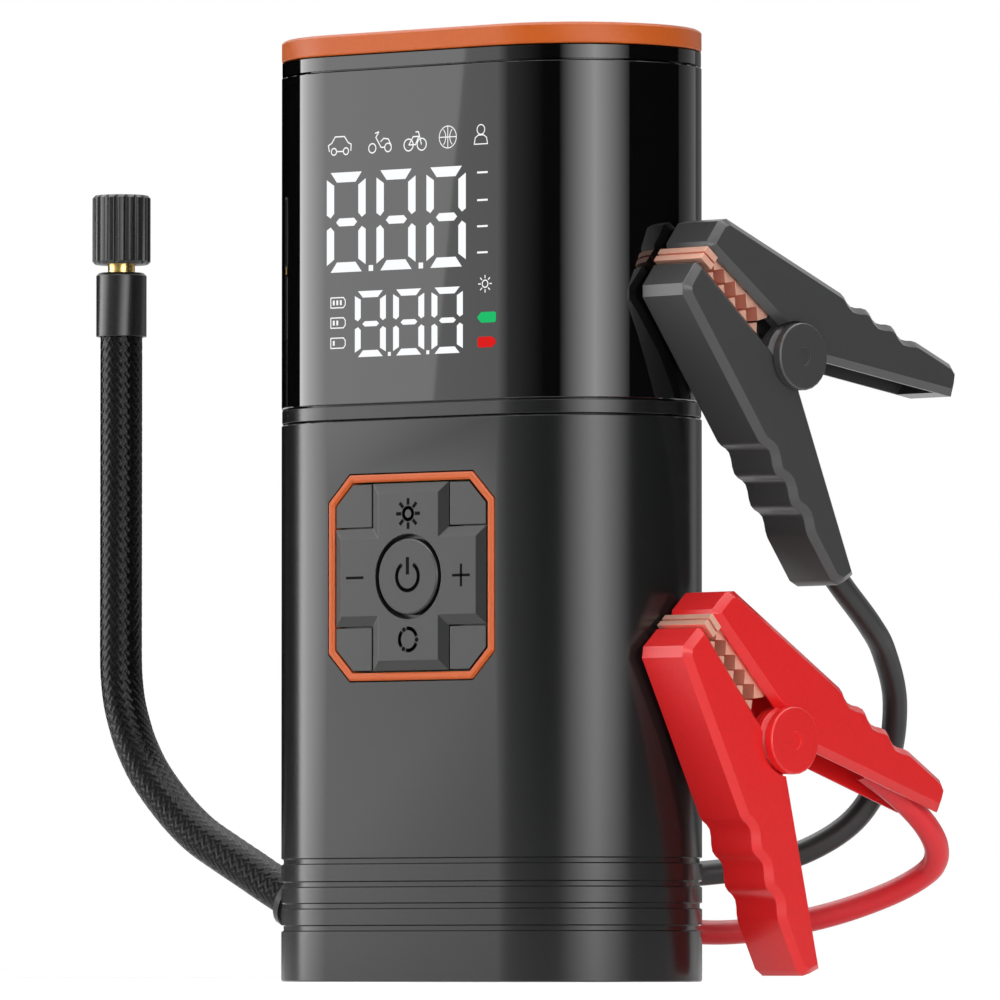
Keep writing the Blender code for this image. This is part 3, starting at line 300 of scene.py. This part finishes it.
def math_node(tree, operation, *sources):
    """A new Math node, fed by the outputs given."""
    made = tree.nodes.new("ShaderNodeMath")
    made.operation = operation
    for source, socket in zip(sources, made.inputs):
        tree.links.new(source, socket)
    return made


def surface(name, colour, rough=0.4, metal=0.0, spread=0.06, grain=900, bump=0.02, specular=0.5):
    """A plain finish with a fine grain in its colour, roughness and relief."""
    made, tree, shader = new_material(name)
    place = tree.nodes.new("ShaderNodeTexCoord")
    noise = node(tree, "ShaderNodeTexNoise", Scale=grain, Detail=4.0)
    tree.links.new(place.outputs["Object"], noise.inputs["Vector"])
    tint = tree.nodes.new("ShaderNodeMix")
    tint.data_type = "RGBA"
    tint.inputs[MIX_COLOUR_A].default_value = (*[c * (1 - spread) for c in colour], 1)
    tint.inputs[MIX_COLOUR_B].default_value = (*[min(1, c * (1 + spread)) for c in colour], 1)
    tree.links.new(noise.outputs["Fac"], tint.inputs[0])
    tree.links.new(tint.outputs[MIX_COLOUR_RESULT], shader.inputs["Base Color"])
    span = node(tree, "ShaderNodeMapRange", To_Min=rough * ROUGH_LOW, To_Max=rough * ROUGH_HIGH)
    tree.links.new(noise.outputs["Fac"], span.inputs["Value"])
    tree.links.new(span.outputs["Result"], shader.inputs["Roughness"])
    relief = node(tree, "ShaderNodeBump", Strength=bump, Distance=GRAIN_RELIEF)
    tree.links.new(noise.outputs["Fac"], relief.inputs["Height"])
    tree.links.new(relief.outputs["Normal"], shader.inputs["Normal"])
    shader.inputs["Metallic"].default_value = metal
    shader.inputs["Specular IOR Level"].default_value = specular
    return made


def glow(name, colour):
    """A lit mark that keeps its colour: dark in itself and without gloss."""
    made, _, shader = new_material(name)
    shader.inputs["Base Color"].default_value = (0.01, 0.01, 0.01, 1)
    shader.inputs["Roughness"].default_value = 0.4
    shader.inputs["Specular IOR Level"].default_value = 0
    shader.inputs["Emission Color"].default_value = (*colour, 1)
    shader.inputs["Emission Strength"].default_value = 1.0
    return made


def clear_lens():
    made = surface("clear_lens", (0.85, 0.87, 0.9), 0.08, bump=0.01)
    made.node_tree.nodes["Principled BSDF"].inputs["Transmission Weight"].default_value = 0.6
    return made


def casing_finishes():
    grey = surface("satin_grey", (0.009, 0.0095, 0.0095), 0.2, bump=0.008, grain=1500, specular=0.4)
    keys = surface("key_grey", (0.014, 0.0145, 0.0145), 0.33, bump=0.008, grain=1500)
    gloss = surface("gloss_black", (0.003, 0.003, 0.0033), 0.02, bump=0.0, spread=0.02)
    return {
        "lower_shell": grey,
        "base_cap": grey,
        "mid_band": grey,
        "cross_key": keys,
        "power_button": keys,
        "keypad_plate": keys,
        "upper_shell": gloss,
        "top_ring": gloss,
        "top_cap": surface("orange_plastic", (0.62, 0.115, 0.012), 0.38, specular=0.25),
        "keypad_bezel": surface("bezel_orange", (0.68, 0.125, 0.025), 0.38, specular=0.25),
        "lamp_lens": clear_lens(),
        "chuck_stem": surface("brass", (0.72, 0.5, 0.18), 0.25, metal=1.0),
    }


def finishes():
    """The finish of each CAD piece by its name. Pieces that aren't named are of dark plastic."""
    look = casing_finishes()
    steel = surface("steel", (0.55, 0.55, 0.56), 0.32, metal=1.0)
    copper = surface("copper", (0.95, 0.52, 0.39), 0.42, metal=0.6)
    board = surface("board_green", (0.03, 0.16, 0.07), 0.5)
    black = surface("black_clamp", (0.056, 0.056, 0.057), 0.3)
    red = surface("red_clamp", (0.89, 0.018, 0.02), 0.3)
    for name in STEEL_PIECES:
        look[name] = steel
    for i in range(BASE_SCREWS):
        look[f"base_screw_{i + 1}"] = steel
    for i in range(CELLS):
        look[f"battery_cell_{i + 1}"] = surface(f"cell_foil_{i}", (0.35, 0.36, 0.4), 0.4, metal=0.6)
    for name in BOARDS:
        look[name] = board
    for colour, plastic in (("black", black), ("red", red)):
        for piece in ("clamp_fixed_half", "clamp_moving_half", "clamp_rivet"):
            look[f"{colour}_{piece}"] = plastic
        look[f"{colour}_clamp_spring"] = steel
        look[f"{colour}_fixed_jaw"] = copper
        look[f"{colour}_moving_jaw"] = copper
    return look


def rounding(name):
    """Width of the rounding on a piece's edges."""
    if name.endswith("_half"):
        return CLAMP_ROUNDING
    return SHELL_ROUNDING if name == "lower_shell" else ROUNDING


def weld(obj):
    obj.modifiers.new("weld", "WELD").merge_threshold = WELD_GAP


def soften(name, obj):
    """Smooth shading, with the flat walls in one face each and the edges rounded a little."""
    for polygon in obj.data.polygons:
        polygon.use_smooth = True
    weld(obj)
    if name in PLAIN_WALLS:
        flat = obj.modifiers.new("flat", "DECIMATE")
        flat.decimate_type = "DISSOLVE"
        flat.angle_limit = math.radians(FLAT_ANGLE)
    if name not in CRISP_PIECES:
        bevel = obj.modifiers.new("bevel", "BEVEL")
        bevel.width = rounding(name)
        bevel.segments = ROUNDING_SEGMENTS
        bevel.limit_method = "ANGLE"
        bevel.angle_limit = math.radians(SHARP_ANGLES.get(name, ROUNDING_ANGLE))
    split = obj.modifiers.new("split", "EDGE_SPLIT")
    split.split_angle = math.radians(SHARP_ANGLES.get(name, SPLIT_ANGLE))
    obj.modifiers.new("even", "WEIGHTED_NORMAL")


def dress_nodes(frame):
    """Gives each CAD piece its finish, smooth shading and softened edges."""
    look = finishes()
    dark = surface("dark_plastic", (0.009, 0.009, 0.0095), 0.28)
    for name, obj in frame["nodes"].items():
        obj.data.materials.clear()
        obj.data.materials.append(look.get(name, dark))
        soften(name, obj)


def link(obj, finish, body="body"):
    """Puts a new piece into the scene, with its finish, on the body that carries it."""
    bpy.context.scene.collection.objects.link(obj)
    obj.data.materials.append(finish)
    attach(obj, body)
    return obj


# Flexible lines


def smooth_line(points, step):
    """A curve through the points, drawn in steps of about the length given."""
    ends = [2 * points[0] - points[1], *points, 2 * points[-1] - points[-2]]
    line = []
    for before, start, end, after in zip(ends, ends[1:], ends[2:], ends[3:]):
        count = max(1, round((end - start).length / step))
        for k in range(count):
            t = k / count
            curve = 2 * start + (end - before) * t
            curve += (2 * before - 5 * start + 4 * end - after) * t**2
            curve += (3 * start - 3 * end + after - before) * t**3
            line.append(curve / 2)
    return [*line, points[-1]]


def length_of(line):
    return sum((b - a).length for a, b in zip(line, line[1:]))


def hose_line(step):
    along = Vector((-math.cos(HOSE_RISE), 0, math.sin(HOSE_RISE)))
    first = [Vector(HOSE_EXIT) + along * d for d in (-HOSE_INSIDE, 0, HOSE_COLLAR)]
    route = [*first, *[Vector(p) for p in HOSE_ROUTE], Vector(HOSE_END)]
    return smooth_line([p * MM for p in route], step)


def braid_height(angle, along):
    """Relief of a woven sleeve, from 0 to 1: two sets of strands that pass over and under."""
    turn = 2 * math.pi * along / BRAID_PITCH
    first, second = BRAID_STRANDS * angle + turn, BRAID_STRANDS * angle - turn
    over = np.sin(first / 2) * np.sin(second / 2)
    one, two = np.abs(np.cos(first / 2)), np.abs(np.cos(second / 2))
    return np.where(over > 0, one, two) ** STRAND_ROUNDNESS


def braided_rings(line):
    """Rings of points round a line in the hose's upright plane, raised by the braid."""
    angles = np.linspace(0, 2 * math.pi, HOSE_SIDES, endpoint=False)
    side = Vector((0, 1, 0))
    points, along = [], 0.0
    for i, here in enumerate(line):
        ahead = (line[min(i + 1, len(line) - 1)] - line[max(i - 1, 0)]).normalized()
        up = ahead.cross(side)
        if i:
            along += (here - line[i - 1]).length
        radius = HOSE_DIAMETER / 2 - BRAID_DEPTH * (1 - braid_height(angles, along))
        for angle, reach in zip(angles, radius):
            points.append(here + side * math.cos(angle) * reach + up * math.sin(angle) * reach)
    return points


def tube_faces(rings, sides):
    """Faces round a tube of so many rings, and one over each end."""
    faces = []
    for ring in range(rings - 1):
        for i in range(sides):
            a, b = ring * sides + i, ring * sides + (i + 1) % sides
            faces.append((a, b, b + sides, a + sides))
    return [*faces, tuple(range(sides)), tuple(range((rings - 1) * sides, rings * sides))]


def hose():
    """A tube whose skin is raised by the braid. Returns its length."""
    line = hose_line(HOSE_STEP)
    mesh = bpy.data.meshes.new("hose_skin")
    mesh.from_pydata([tuple(p) for p in braided_rings(line)], [], tube_faces(len(line), HOSE_SIDES))
    mesh.shade_smooth()
    made = bpy.data.objects.new("hose_skin", mesh)
    colour = (0.003, 0.003, 0.0033)
    link(made, surface("hose_braid", colour, 0.24, grain=2500, bump=0.1, spread=0.3, specular=0.15))
    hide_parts("hose")
    path = hose_line(PATH_STEP)
    return length_of(path)


def clamp_matrix(name):
    """From a clamp's own plane, s along it and q across it, to the object's frame, in millimetres."""
    clamp = CLAMPS[name]
    across = Vector((math.cos(CLAMP_YAW), math.sin(CLAMP_YAW), 0))
    out = Vector((math.sin(CLAMP_YAW), -math.cos(CLAMP_YAW), 0))
    up = Vector((0, 0, 1))
    s = across * math.cos(clamp.tilt) + up * math.sin(clamp.tilt)
    q = up * math.cos(clamp.tilt) - across * math.sin(clamp.tilt)
    place = across * clamp.along + out * CLAMP_MIDDLE + up * clamp.height
    return Matrix.Translation(place) @ Matrix((s, q, out)).transposed().to_4x4()


def lead_line(name):
    x, z = LEAD_EXITS[name]
    side = CLAMPS[name].lead_side
    first = [Vector((x, CASING_BACK + d, z)) for d in (-LEAD_INSIDE, 0, LEAD_COLLAR)]
    to_world = clamp_matrix(name)
    last = [to_world @ Vector((s, side * q, 0)) for s, q in LEAD_IN_CLAMP]
    route = [*first, *[Vector(p) for p in LEAD_ROUTES[name]], *last]
    return smooth_line([p * MM for p in route], LEAD_STEP)


def lead(name, colour):
    """A round rubber lead from the casing's back into its clamp. Returns its length."""
    line = lead_line(name)
    curve = bpy.data.curves.new(f"{name}_lead_skin", "CURVE")
    curve.dimensions = "3D"
    curve.bevel_depth = LEAD_DIAMETER / 2
    curve.bevel_resolution = LEAD_RESOLUTION
    curve.use_fill_caps = True
    spline = curve.splines.new("POLY")
    spline.points.add(len(line) - 1)
    for point, place in zip(spline.points, line):
        point.co = (*place, 1)
    spline.use_smooth = True
    made = bpy.data.objects.new(f"{name}_lead_skin", curve)
    link(made, surface(f"{name}_lead_rubber", colour, 0.42, grain=600, bump=0.05))
    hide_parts(f"{name}_lead")
    length = length_of(line)
    return length


def spring(name, cad):
    """The clamp's spring: a welded copy of the CAD piece, in its place, with the CAD piece hidden."""
    made = bpy.data.objects.new(f"{name}_spring_wire", cad.data.copy())
    bpy.context.scene.collection.objects.link(made)
    made.matrix_world = cad.matrix_world
    weld(made)
    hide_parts(f"{name}_clamp_spring")
    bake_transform(made)


# Marks on the front: each is drawn in millimetres across and up


def flat_marks(name, shapes, depth, finish, body="body"):
    """Flat filled shapes just proud of a surface that faces the front."""
    points, faces = [], []
    for shape in shapes:
        start = len(points)
        points += [(x * MM, depth - PROUD, z * MM) for x, z in shape]
        faces.append(tuple(range(start, len(points))))
    mesh = bpy.data.meshes.new(name)
    mesh.from_pydata(points, [], faces)
    return link(bpy.data.objects.new(name, mesh), finish, body)


def stroke_shapes(line, half):
    """Thin quads along a line of points, with square joints."""
    shapes = []
    for (x0, z0), (x1, z1) in zip(line, line[1:]):
        span = math.hypot(x1 - x0, z1 - z0)
        ux, uz = (x1 - x0) / span * half, (z1 - z0) / span * half
        x0, z0 = x0 - ux / 2, z0 - uz / 2
        x1, z1 = x1 + ux / 2, z1 + uz / 2
        shapes.append([(x0 - uz, z0 + ux), (x0 + uz, z0 - ux), (x1 + uz, z1 - ux), (x1 - uz, z1 + ux)])
    return shapes


def arc(x, z, radius, start=0, end=360, steps=20):
    """Points along an arc round x and z, between two angles in degrees."""
    angles = [math.radians(start + (end - start) * i / steps) for i in range(steps + 1)]
    return [(x + radius * math.cos(a), z + radius * math.sin(a)) for a in angles]


def box(x, z, width, height):
    return [(x, z), (x + width, z), (x + width, z + height), (x, z + height)]


def drawn(lines, x, z, half, scale=1.0):
    """Strokes along the lines of a sign, placed with its middle at x and z."""
    shapes = []
    for line in lines:
        shapes += stroke_shapes([(x + px * scale, z + pz * scale) for px, pz in line], half)
    return shapes


def digit_shapes(x, z, width, height):
    """The seven lit bars of one digit."""
    upright = [(0, 0.93), (0.19, 0.87), (0.19, 0.59), (0.1, 0.545), (0, 0.575)]
    cap = [(0.1, 1), (0.9, 1), (0.74, 0.9), (0.26, 0.9)]
    middle = [(0.24, 0.5), (0.32, 0.54), (0.7, 0.54), (0.78, 0.5), (0.7, 0.46), (0.32, 0.46)]
    bars = [middle, cap, [(u, 1 - v) for u, v in cap]]
    for u_sign in (0, 1):
        for v_sign in (0, 1):
            bars.append([(abs(u_sign - u), abs(v_sign - v)) for u, v in upright])
    return [[(x + u * width, z + v * height) for u, v in bar] for bar in bars]


def number_shapes(x, z, width, height, pitch):
    """Three digits, with a square dot between each two."""
    shapes = []
    for i in range(3):
        shapes += digit_shapes(x + i * pitch, z, width, height)
    gap = pitch - width
    for i in range(2):
        shapes.append(box(x + i * pitch + width + DOT_INSET * gap, z, DOT_SIZE * gap, DOT_SIZE * gap))
    return shapes


def car():
    body = [(-3.2, -1.4), (-3.5, 0), (-2.4, 0.6), (-1.4, 2), (1.4, 2), (2.6, 0.5), (3.5, 0.1), (3.4, -1.4)]
    return [body, arc(-1.8, -1.5, 0.8), arc(1.9, -1.5, 0.8), [(-1, -1.5), (1.1, -1.5)]]


def scooter():
    frame = [(-1.4, 2.2), (-0.3, 2.5), (-1.2, 1.2), (0.4, -1.2), (1.5, -1.2)]
    seat = [(0.3, 0.2), (1.2, 0.9), (2.6, 0.7), (3.5, -0.9)]
    return [frame, seat, arc(-2.3, -1.3, 1.1), arc(2.5, -1.3, 1.0)]


def bicycle():
    frame = [(-1.8, -0.9), (-0.5, 1.0), (1.2, 1.0), (0.2, -0.9), (-1.8, -0.9)]
    fork = [(2.0, -0.9), (1.1, 2.1), (0.3, 2.1)]
    return [frame, fork, arc(-1.9, -0.9, 1.4), arc(2.1, -0.9, 1.4)]


def ball():
    seams = [arc(-3.2, 0, 2.6, -42, 42, 8), arc(3.2, 0, 2.6, 138, 222, 8)]
    return [arc(0, 0, 2.6), [(0, -2.6), (0, 2.6)], [(-2.6, 0), (2.6, 0)], *seams]


def person():
    shoulders = [(-2, -2.2), (-1.7, -0.7), (-0.8, -0.1), (0.8, -0.1), (1.7, -0.7), (2, -2.2), (-2, -2.2)]
    return [arc(0, 1.2, 1.15), shoulders]


def sun(core, reach):
    lines = [arc(0, 0, core)]
    for i in range(8):
        a = math.radians(45 * i)
        lines.append([(r * math.cos(a), r * math.sin(a)) for r in (core * 1.6, reach)])
    return lines


def battery_shapes(x, z, bars):
    """The sign of a battery that is charged to one, two or three bars."""
    case = [(-1.9, -1.05), (1.5, -1.05), (2.0, -0.5), (2.0, 0.5), (1.5, 1.05), (-1.9, 1.05), (-1.9, -1.05)]
    shapes = drawn([case], x, z, SIGN_LINE)
    for i in range(bars):
        left = x + BAR_START + i * BAR_PITCH
        shapes.append(box(left, z - BAR_HEIGHT / 2, BAR_WIDTH, BAR_HEIGHT))
    return shapes


def pill(place, point):
    """A small tab with a blunt point at one end and round corners at the other."""
    outline = [(-1.5, 1.1), (-2.5, 0.2), (-2.5, -0.2), (-1.5, -1.1)]
    outline += arc(1.9, -0.6, 0.5, -90, 0, 4) + arc(1.9, 0.6, 0.5, 0, 90, 4)
    x, z = place
    return [(x + point * u, z + v) for u, v in outline]


def display():
    """The lit digits, signs and dashes, and the two coloured pills."""
    shapes = number_shapes(*LARGE_DIGITS) + number_shapes(*SMALL_DIGITS)
    icons = (
        (car, -19.2, 173.8, 0.13),
        (scooter, -8.4, 173.9, 0.13),
        (bicycle, 1, 173.8, 0.13),
        (ball, 9.8, 174.2, 0.1),
        (person, 18.6, 174.3, 0.11),
    )
    for icon, x, z, half in icons:
        shapes += drawn(icon(), x, z, half, ICON_SCALE)
    shapes += drawn(sun(0.75, 1.75), *SUN_SIGN, SIGN_LINE)
    for z, bars in BATTERY_BARS:
        shapes += battery_shapes(BATTERY_X, z, bars)
    for z in DASH_HEIGHTS:
        shapes += stroke_shapes([(x, z) for x in DASH_ENDS], DASH_LINE)
    flat_marks("display_marks", shapes, FRONT, glow("lit_white", (0.97, 0.98, 1.0)))
    flat_marks("charge_mark", [pill(CHARGE_PILL, 1)], FRONT, glow("lit_green", (0.007, 0.51, 0.14)))
    flat_marks("supply_mark", [pill(SUPPLY_PILL, -1)], FRONT, glow("lit_red", (0.7, 0.006, 0.006)))


def ring_shapes(x, z):
    """A ring of three arcs, each with a round dot after it."""
    shapes = []
    for start in RING_STARTS:
        shapes += drawn([arc(0, 0, RING_RADIUS, start, start + RING_ARC, 8)], x, z, RING_LINE)
        turn = math.radians(start + RING_DOT_TURN)
        middle = (x + RING_RADIUS * math.cos(turn), z + RING_RADIUS * math.sin(turn))
        shapes.append(arc(*middle, RING_DOT, steps=10)[:-1])
    return shapes


def key_symbols():
    """The dark signs on the cross key and the power button, each on the body of its key."""
    ink = surface("key_ink", (0.003, 0.003, 0.003), 0.6, specular=0.05)
    level = [(-SIGN_HALF, 0), (SIGN_HALF, 0)]
    upright = [(0, -SIGN_HALF), (0, SIGN_HALF)]
    shapes = drawn(sun(1.25, 3), 0, KEYPAD_Z + KEY_REACH, SUN_LINE)
    shapes += drawn([level], MINUS_X, KEYPAD_Z, KEY_LINE)
    shapes += drawn([level, upright], PLUS_X, KEYPAD_Z, KEY_LINE)
    shapes += ring_shapes(0, KEYPAD_Z - KEY_REACH)
    flat_marks("key_marks", shapes, KEY_FRONT, ink, "cross_key")
    power = [arc(0, 0, POWER_RADIUS, 125, 415, 24), [(0, 0.6), (0, 3.8)]]
    flat_marks("power_mark", drawn(power, 0, KEYPAD_Z, POWER_LINE), POWER_FRONT, ink, "power_button")


# Stage


def stage_object(name, points, faces, finish, seen=False):
    mesh = bpy.data.meshes.new(name)
    mesh.from_pydata(points, [], faces)
    made = bpy.data.objects.new(name, mesh)
    bpy.context.scene.collection.objects.link(made)
    mesh.materials.append(finish)
    made.visible_camera = seen
    return made


def flat_stage(name, across, deep, height, finish, seen=False):
    """A level rectangle of the stage."""
    (left, right), (near, far) = across, deep
    points = [(left, near, height), (right, near, height), (right, far, height), (left, far, height)]
    return stage_object(name, points, [(0, 1, 2, 3)], finish, seen)


def new_light(name, strength):
    """A material that is only light."""
    made, tree, shader = new_material(name)
    tree.nodes.remove(shader)
    light = node(tree, "ShaderNodeEmission", Strength=strength)
    tree.links.new(light.outputs[0], tree.nodes["Material Output"].inputs["Surface"])
    return made, tree, light


def card_light(name, edges):
    """Light that changes evenly from one edge of a softbox to the other."""
    (start, first), (end, last) = edges
    made, tree, light = new_light(name, first)
    if first == last:
        return made
    place = tree.nodes.new("ShaderNodeNewGeometry")
    parts = tree.nodes.new("ShaderNodeSeparateXYZ")
    tree.links.new(place.outputs["Position"], parts.inputs[0])
    ahead = math_node(tree, "MULTIPLY", parts.outputs["Y"])
    ahead.inputs[1].default_value = -1
    azimuth = math_node(tree, "ARCTAN2", parts.outputs["X"], ahead.outputs[0])
    span = node(
        tree,
        "ShaderNodeMapRange",
        From_Min=math.radians(start),
        From_Max=math.radians(end),
        To_Min=first,
        To_Max=last,
    )
    tree.links.new(azimuth.outputs[0], span.inputs["Value"])
    tree.links.new(span.outputs["Result"], light.inputs["Strength"])
    return made


def card(name, edges, low=CARD_LOW, high=CARD_HIGH):
    """A curved softbox round the object, from one azimuth to another."""
    (start, _), (end, _) = edges
    radius = CARD_RADII.get(name, CARD_RADIUS)
    lean = CARD_LEANS.get(name, 0)
    points = []
    for i in range(CARD_STEPS + 1):
        share = i / CARD_STEPS
        for z in (low, high):
            slant = lean * (z - LEAN_FOOT) / LEAN_RISE * (1 - share)
            azimuth = math.radians(start + (end - start) * share + slant)
            points.append((radius * math.sin(azimuth), -radius * math.cos(azimuth), z))
    faces = [(2 * i, 2 * i + 2, 2 * i + 3, 2 * i + 1) for i in range(CARD_STEPS)]
    return stage_object(name, points, faces, card_light(f"{name}_light", edges))


def seen_directly(tree):
    """1 for what the camera sees, also in metal and through glass, and 0 for the light on the object."""
    rays = tree.nodes.new("ShaderNodeLightPath")
    seen = rays.outputs["Is Camera Ray"]
    for name in ("Is Glossy Ray", "Is Transmission Ray"):
        seen = math_node(tree, "MAXIMUM", seen, rays.outputs[name]).outputs[0]
    return seen


def world():
    """White where it is seen, and dimmer as light on the object."""
    made = bpy.data.worlds.new("studio")
    bpy.context.scene.world = made
    made.use_nodes = True
    tree = made.node_tree
    background = tree.nodes["Background"]
    background.inputs["Color"].default_value = (1, 1, 1, 1)
    level = node(tree, "ShaderNodeMapRange", To_Min=WORLD_LIGHT, To_Max=1.0)
    tree.links.new(seen_directly(tree), level.inputs["Value"])
    tree.links.new(level.outputs["Result"], background.inputs["Strength"])


def floor_paint():
    """A white floor that shows as plain white and catches soft shadows."""
    made, tree, shader = new_material("floor_paint")
    shader.inputs["Base Color"].default_value = (0.86, 0.86, 0.86, 1)
    shader.inputs["Roughness"].default_value = 0.7
    shader.inputs["Emission Color"].default_value = (1, 1, 1, 1)
    level = node(tree, "ShaderNodeMapRange", To_Min=0.0, To_Max=FLOOR_GLOW)
    tree.links.new(seen_directly(tree), level.inputs["Value"])
    tree.links.new(level.outputs["Result"], shader.inputs["Emission Strength"])
    return made


def lamp():
    light = bpy.data.lights.new("top_light", "AREA")
    light.energy = LAMP_POWER
    light.size = LAMP_SIZE
    made = bpy.data.objects.new("top_light", light)
    made.location = LAMP_PLACE
    away = Vector(LAMP_PLACE) - Vector(LAMP_AIM)
    made.rotation_euler = away.to_track_quat("Z", "Y").to_euler()
    bpy.context.scene.collection.objects.link(made)


def stage():
    """A white floor and the lights. The overhead softbox and the lip ones show only in gloss."""
    world()
    half = (-FLOOR_HALF, FLOOR_HALF)
    flat_stage("floor", half, half, FLOOR_HEIGHT, floor_paint(), seen=True)
    for name, edges in CARDS.items():
        card(name, edges)
    light, _, _ = new_light("top_card_light", TOP_CARD_LIGHT)
    reflected = [flat_stage("top_card", TOP_CARD_X, TOP_CARD_Y, TOP_CARD_HEIGHT, light)]
    for name, edges in LIP_CARDS.items():
        reflected.append(card(name, edges, CARD_HIGH, LIP_HIGH))
    for made in reflected:
        made.visible_diffuse = False
    lamp()


def camera():
    lens = bpy.data.cameras.new("camera")
    lens.lens = LENS
    lens.sensor_width = SENSOR_WIDTH
    lens.clip_start = CLIP_START
    lens.clip_end = CLIP_END
    made = bpy.data.objects.new("camera", lens)
    bpy.context.scene.collection.objects.link(made)
    right = Vector((math.cos(AZIMUTH), math.sin(AZIMUTH), 0)) * AIM_RIGHT
    towards = Vector((math.sin(AZIMUTH), -math.cos(AZIMUTH), 0)) * DISTANCE
    place = right + towards + Vector((0, 0, EYE_HEIGHT))
    aim = right + Vector((0, 0, AIM_HEIGHT))
    made.location = place
    made.rotation_euler = (aim - place).to_track_quat("-Z", "Y").to_euler()
    bpy.context.scene.camera = made


for old in list(bpy.data.objects):
    bpy.data.objects.remove(old, do_unlink=True)
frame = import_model()
dress_nodes(frame)
lengths = {"hose": hose()}
for name, colour in LEAD_COLOURS.items():
    lengths[f"{name}_lead"] = lead(name, colour)
for name in CLAMPS:
    spring(name, frame["nodes"][f"{name}_clamp_spring"])
display()
key_symbols()
stage()
camera()
bpy.context.scene.view_settings.view_transform = "Standard"
